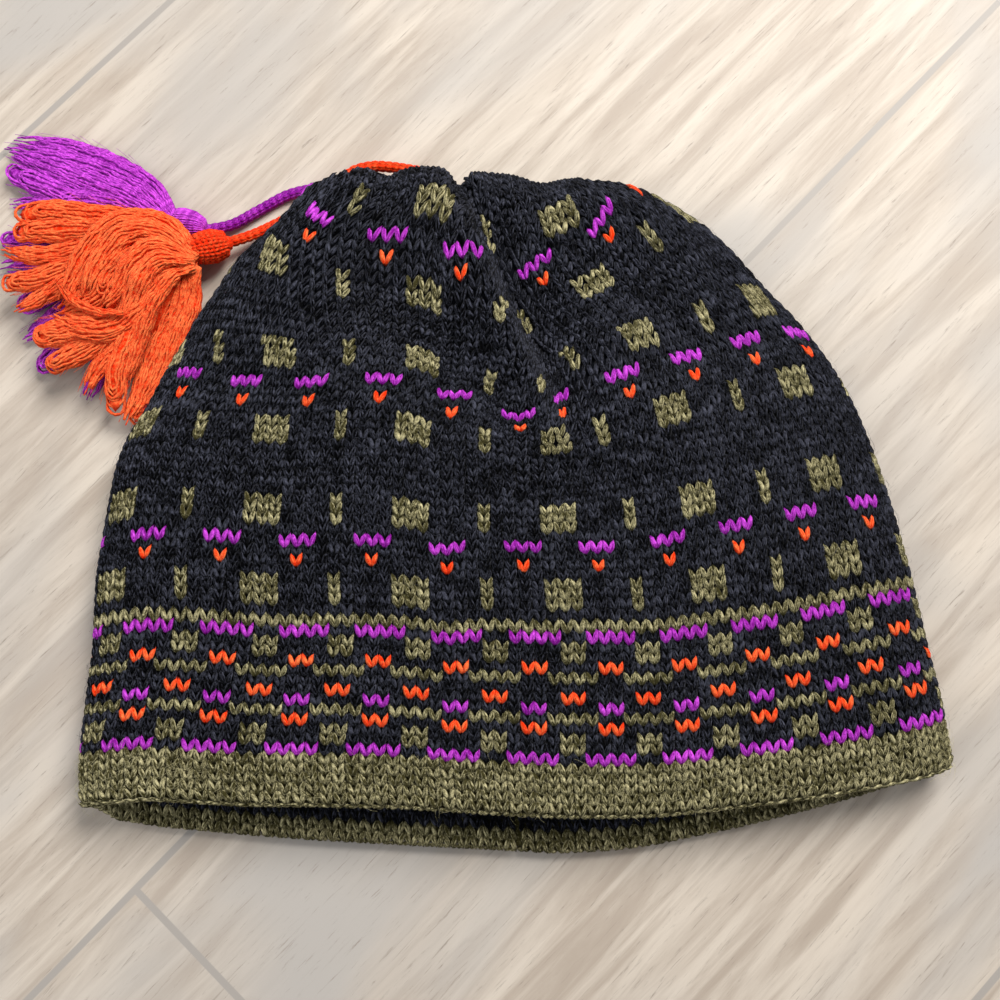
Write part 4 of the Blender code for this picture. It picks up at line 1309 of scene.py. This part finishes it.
def wavy(line, chance):
    """The line with the gentle waves of softly spun wool."""
    run = np.arange(len(line)) * STRAND_STEP
    _, side, over = line_frames(line)
    for axis, depth in ((side, WAVE_DEPTH), (over, WAVE_DEPTH * 0.6)):
        phase = chance.random() * 2 * np.pi
        length = WAVE_LENGTH * (0.8 + 0.8 * chance.random())
        swing = np.sin(2 * np.pi * run / length + phase) + 0.8 * np.sin(2 * np.pi * run / (2.3 * length) + 2 * phase)
        line = line + axis * (depth * swing)[:, None]
    return line


def tone_part(line, radii, sides, tone):
    points, faces, uv = tube_mesh(line, radii, sides)
    return points, faces, np.full(len(points), tone), uv


def lock_body(middle, side, widths, tip, sides=10):
    """Closed flattened body of a lock under its strands, with a darker tone as painted shade between them."""
    points, faces, uv = tube_mesh(middle, 1.0, sides)
    angles = 2 * np.pi * np.arange(sides) / sides - np.pi / 2
    narrowed = widths * np.interp(np.linspace(0, 1, len(widths)), BODY_RUN, tip)
    width = np.maximum(narrowed - STRAND_RADIUS, 0.0002)[:, None, None]
    ring = side[:, None] * np.cos(angles)[:, None] * width
    ring[..., 2:] += LOCK_PLUMPNESS * np.sin(angles)[:, None] * width
    rows = len(middle) * sides
    points[:rows] = (middle[:, None] + ring).reshape(-1, 3)
    points[rows:] = middle[[0, -1]]
    points[-1] += (middle[-1] - middle[-2]) / np.linalg.norm(middle[-1] - middle[-2]) * narrowed[-1]
    return points, faces, np.full(len(points), 0.22), uv


def tassel_strands(table, locks, neck, seed):
    """Strands of every lock, side by side over its rounded back."""
    chance = np.random.default_rng(seed)
    heights = fan_heights(locks, neck)
    entry = placed(neck[0])
    parts = []
    for half, looped, root_level, tip_level, *route in table:
        route = [(entry[0] + x * TASSEL_LENGTH, entry[1] + y * TASSEL_LENGTH, 0.0) for x, y in route]
        middle = smooth_route(route, STRAND_STEP)
        share = np.linspace(0, 1, len(middle))
        low, high = heights(middle[:, :2])
        level = low + (high - low) * (root_level + (tip_level - root_level) * share)
        padded = np.pad(level, LEVEL_SMOOTHING, mode="edge")
        window = np.ones(2 * LEVEL_SMOOTHING + 1) / (2 * LEVEL_SMOOTHING + 1)
        middle[:, 2] = np.convolve(padded, window, mode="valid")
        profile = LOOPED_WIDTHS if looped else CUT_WIDTHS
        widths = half * TASSEL_LENGTH * np.interp(share, np.linspace(0, 1, 5), profile)
        middle[:, 2] = np.maximum(middle[:, 2], LOCK_PLUMPNESS * widths + 2 * STRAND_RADIUS)
        along, side, _ = line_frames(middle)
        parts.append(lock_body(middle, side, widths, LOOPED_BODY if looped else CUT_BODY))
        tone = 0.42 + chance.normal(0, 0.03)
        arc = half * TASSEL_LENGTH * (math.pi - 2 * LOWEST_STRAND) * (1 + LOCK_PLUMPNESS) / 2
        count = max(int(arc / (2 * STRAND_RADIUS * STRAND_SPACING)), 4)

        def strand_line(angle):
            drift = STRAND_WANDER * np.sin(2 * np.pi * (share * 1.7 + chance.random()))
            line = middle + side * (widths * np.cos(angle + drift))[:, None]
            line[:, 2] += LOCK_PLUMPNESS * widths * np.sin(angle + drift)
            return line

        for i in range(count):
            angle = LOWEST_STRAND + (math.pi - 2 * LOWEST_STRAND) * (i + 0.5 + chance.uniform(-0.3, 0.3)) / count
            line = strand_line(angle)
            if looped:
                if angle > math.pi / 2:
                    continue
                line = line[: len(line) - int(chance.integers(0, 5))]
                back = strand_line(math.pi - angle)[: len(line)][::-1]
                middle_point = (line[-1] + back[0]) / 2
                reach = np.linalg.norm(line[-1] - back[0]) / 2
                bends = np.linspace(0, np.pi, max(int(np.pi * reach / STRAND_STEP), 2) + 1)[1:-1]
                turn = middle_point + np.cos(bends)[:, None] * (line[-1] - middle_point)
                turn = turn + np.sin(bends)[:, None] * along[len(line) - 1] * reach
                line = np.concatenate([line, turn, back])
            else:
                line = line[: int(len(line) * chance.uniform(0.82, 1.0))]
            line = wavy(line, chance)
            line[:, 2] = np.maximum(line[:, 2], STRAND_RADIUS * 1.1)
            taper = np.interp(np.linspace(0, 1, len(line)), (0, 0.95, 1), (1, 1, 0.6))
            # Painted light: strands on top of the lock get a lighter tone than those on its sides.
            parts.append(tone_part(line, STRAND_RADIUS * taper, STRAND_SIDES,
                                   tone + 0.14 * math.sin(angle) + chance.normal(0, 0.05)))
        for _ in range(HAIRS):
            start = int(chance.integers(len(middle) // 4, len(middle) - 3))
            span = min(int(chance.integers(5, 12)), len(middle) - start)
            turn_out = chance.choice((-1.0, 1.0))
            away = turn_out * widths[start: start + span] * np.linspace(0.8, 1.5, span) ** 1.2
            hair = middle[start: start + span] + side[start: start + span] * away[:, None]
            hair[:, 2] = np.maximum(hair[:, 2] + 0.0015 * chance.random(), HAIR_RADIUS * 2)
            parts.append(tone_part(hair, HAIR_RADIUS, 3, tone))
    return parts


def neck_strands(line, radii, count, turns, chance):
    """Strands wound along the outside of a bound neck, over a smooth core whose darker tone is painted shade between
    them.
    """
    parts = [tone_part(line, radii - STRAND_RADIUS, 12, 0.22)]
    _, side, over = line_frames(line)
    for k in range(count):
        angle = 2 * np.pi * (k + chance.uniform(-0.2, 0.2)) / count + turns * 2 * np.pi * np.linspace(0, 1, len(line))
        path = line + (side * np.cos(angle)[:, None] + over * np.sin(angle)[:, None]) * radii[:, None]
        parts.append(tone_part(path, STRAND_RADIUS, STRAND_SIDES, 0.55 + chance.normal(0, 0.06)))
    return parts


NECK_ROW = 0.0016
NECK_WALES = 13
NECK_LEG_RADIUS = 0.00042
NECK_STRANDS = 34
NECK_TURNS = 0.12

for cord_name, bundles, locks, neck, yarn in (
    ("violet", VIOLET_BUNDLES, VIOLET_LOCKS, VIOLET_NECK, violet),
    ("orange", ORANGE_BUNDLES, ORANGE_LOCKS, ORANGE_NECK, orange),
):
    entry, bearing, length_share, radius_share, root_height = neck
    heading = math.radians(bearing)
    neck_line = []
    neck_radii = []
    for along, width in NECK_SECTIONS:
        ahead = along * length_share * TASSEL_LENGTH
        place = placed(entry) + np.array([math.cos(heading), math.sin(heading), 0.0]) * ahead
        place[2] += (root_height * CORD_DIAMETER - place[2]) * along
        neck_line.append(place)
        neck_radii.append(width * radius_share * TASSEL_LENGTH)
    neck_line = smooth_route(neck_line, STRAND_STEP / 2)
    neck_radii = np.interp(np.linspace(0, 1, len(neck_line)), [row[0] for row in NECK_SECTIONS], neck_radii)
    if cord_name == "violet":
        parts = neck_strands(neck_line, neck_radii, NECK_STRANDS, NECK_TURNS, np.random.default_rng(5))
    else:
        parts = knitted_tube(neck_line, neck_radii, NECK_ROW, NECK_WALES, NECK_LEG_RADIUS)
    points, faces, tones, uv = join_meshes(parts)
    neck_knit = fill_mesh(cord_name + "_neck_knit", points, faces, [yarn], None, {"tone": tones}, uv)
    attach(neck_knit, "root")
    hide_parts(cord_name + "_tassel")
    parts = [tassel_core(locks, neck)] + tassel_strands(bundles, locks, neck, len(cord_name))
    points, faces, tones, uv = join_meshes(parts)
    tassel = fill_mesh(cord_name + "_tassel_strands", points, faces, [yarn], None, {"tone": tones}, uv)
    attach(tassel, "root")
    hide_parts(cord_name + "_tassel")
    cord, line = cords[cord_name]

# Stray fibres: fine wool hairs that stand a little off the front of the crown and of the hem.
FIBRE_RADIUS = 0.000024
FIBRE_RISE = 0.0010
CROWN_FIBRE_ROWS = 56
CROWN_FIBRES = 30
HEM_FIBRE_ROWS = 9
HEM_FIBRES = 60
fibre_chance = np.random.default_rng(11)
front_places = np.where(RING_FRONT)[0][2:-2]


def fibres(points, above, count):
    """Bowed hairs at random places of one row over the front of the cloth."""
    picks = fibre_chance.choice(front_places, count)
    ways = [points[picks + 1] - points[picks - 1], above[picks] - points[picks]]
    across, rise = (way / np.linalg.norm(way, axis=1)[:, None] for way in ways)
    out = np.cross(across, rise)
    share = np.linspace(0, 1, 6)[:, None]
    parts = []
    for i in range(count):
        turn = fibre_chance.uniform(0, 2 * np.pi)
        length = fibre_chance.uniform(0.0015, 0.0042)
        bow = fibre_chance.uniform(-1.3, 1.3)
        ahead = across[i] * math.cos(turn) + rise[i] * math.sin(turn)
        aside = rise[i] * math.cos(turn) - across[i] * math.sin(turn)
        lift = FIBRE_RISE * fibre_chance.uniform(0.3, 1.0) * np.sin(np.pi * share * 0.8)
        line = points[picks[i]] + (ahead * share + aside * bow * share**2) * length + out[i] * lift
        hair, faces, uv = tube_mesh(line, FIBRE_RADIUS, 3)
        parts.append((hair, faces, np.full(len(hair), fibre_chance.uniform(0.5, 1.1)), uv))
    return parts


crown_hairs = []
for share in np.linspace(0.09, 0.97, CROWN_FIBRE_ROWS):
    crown_hairs += fibres(ring_points(share, 0.0), ring_points(share + 0.01, 0.0), CROWN_FIBRES)
hem_hairs = []
for share in np.linspace(0.1, 1.1, HEM_FIBRE_ROWS):
    hem_hairs += fibres(hem_points(share * HEM_DROP, 0.0), hem_points(share * HEM_DROP - 0.001, 0.0), HEM_FIBRES)
for piece_name, parts, yarn, node, slot in (
    ("crown_fibres", crown_hairs, charcoal, "crown", "crown_yarn"),
    ("hem_fibres", hem_hairs, olive, "brim", "brim_yarn"),
):
    points, faces, tones, uv = join_meshes(parts)
    stray = fill_mesh(piece_name, points, faces, [yarn], None, {"tone": tones}, uv)
    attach(stray, "root")
    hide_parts(node)
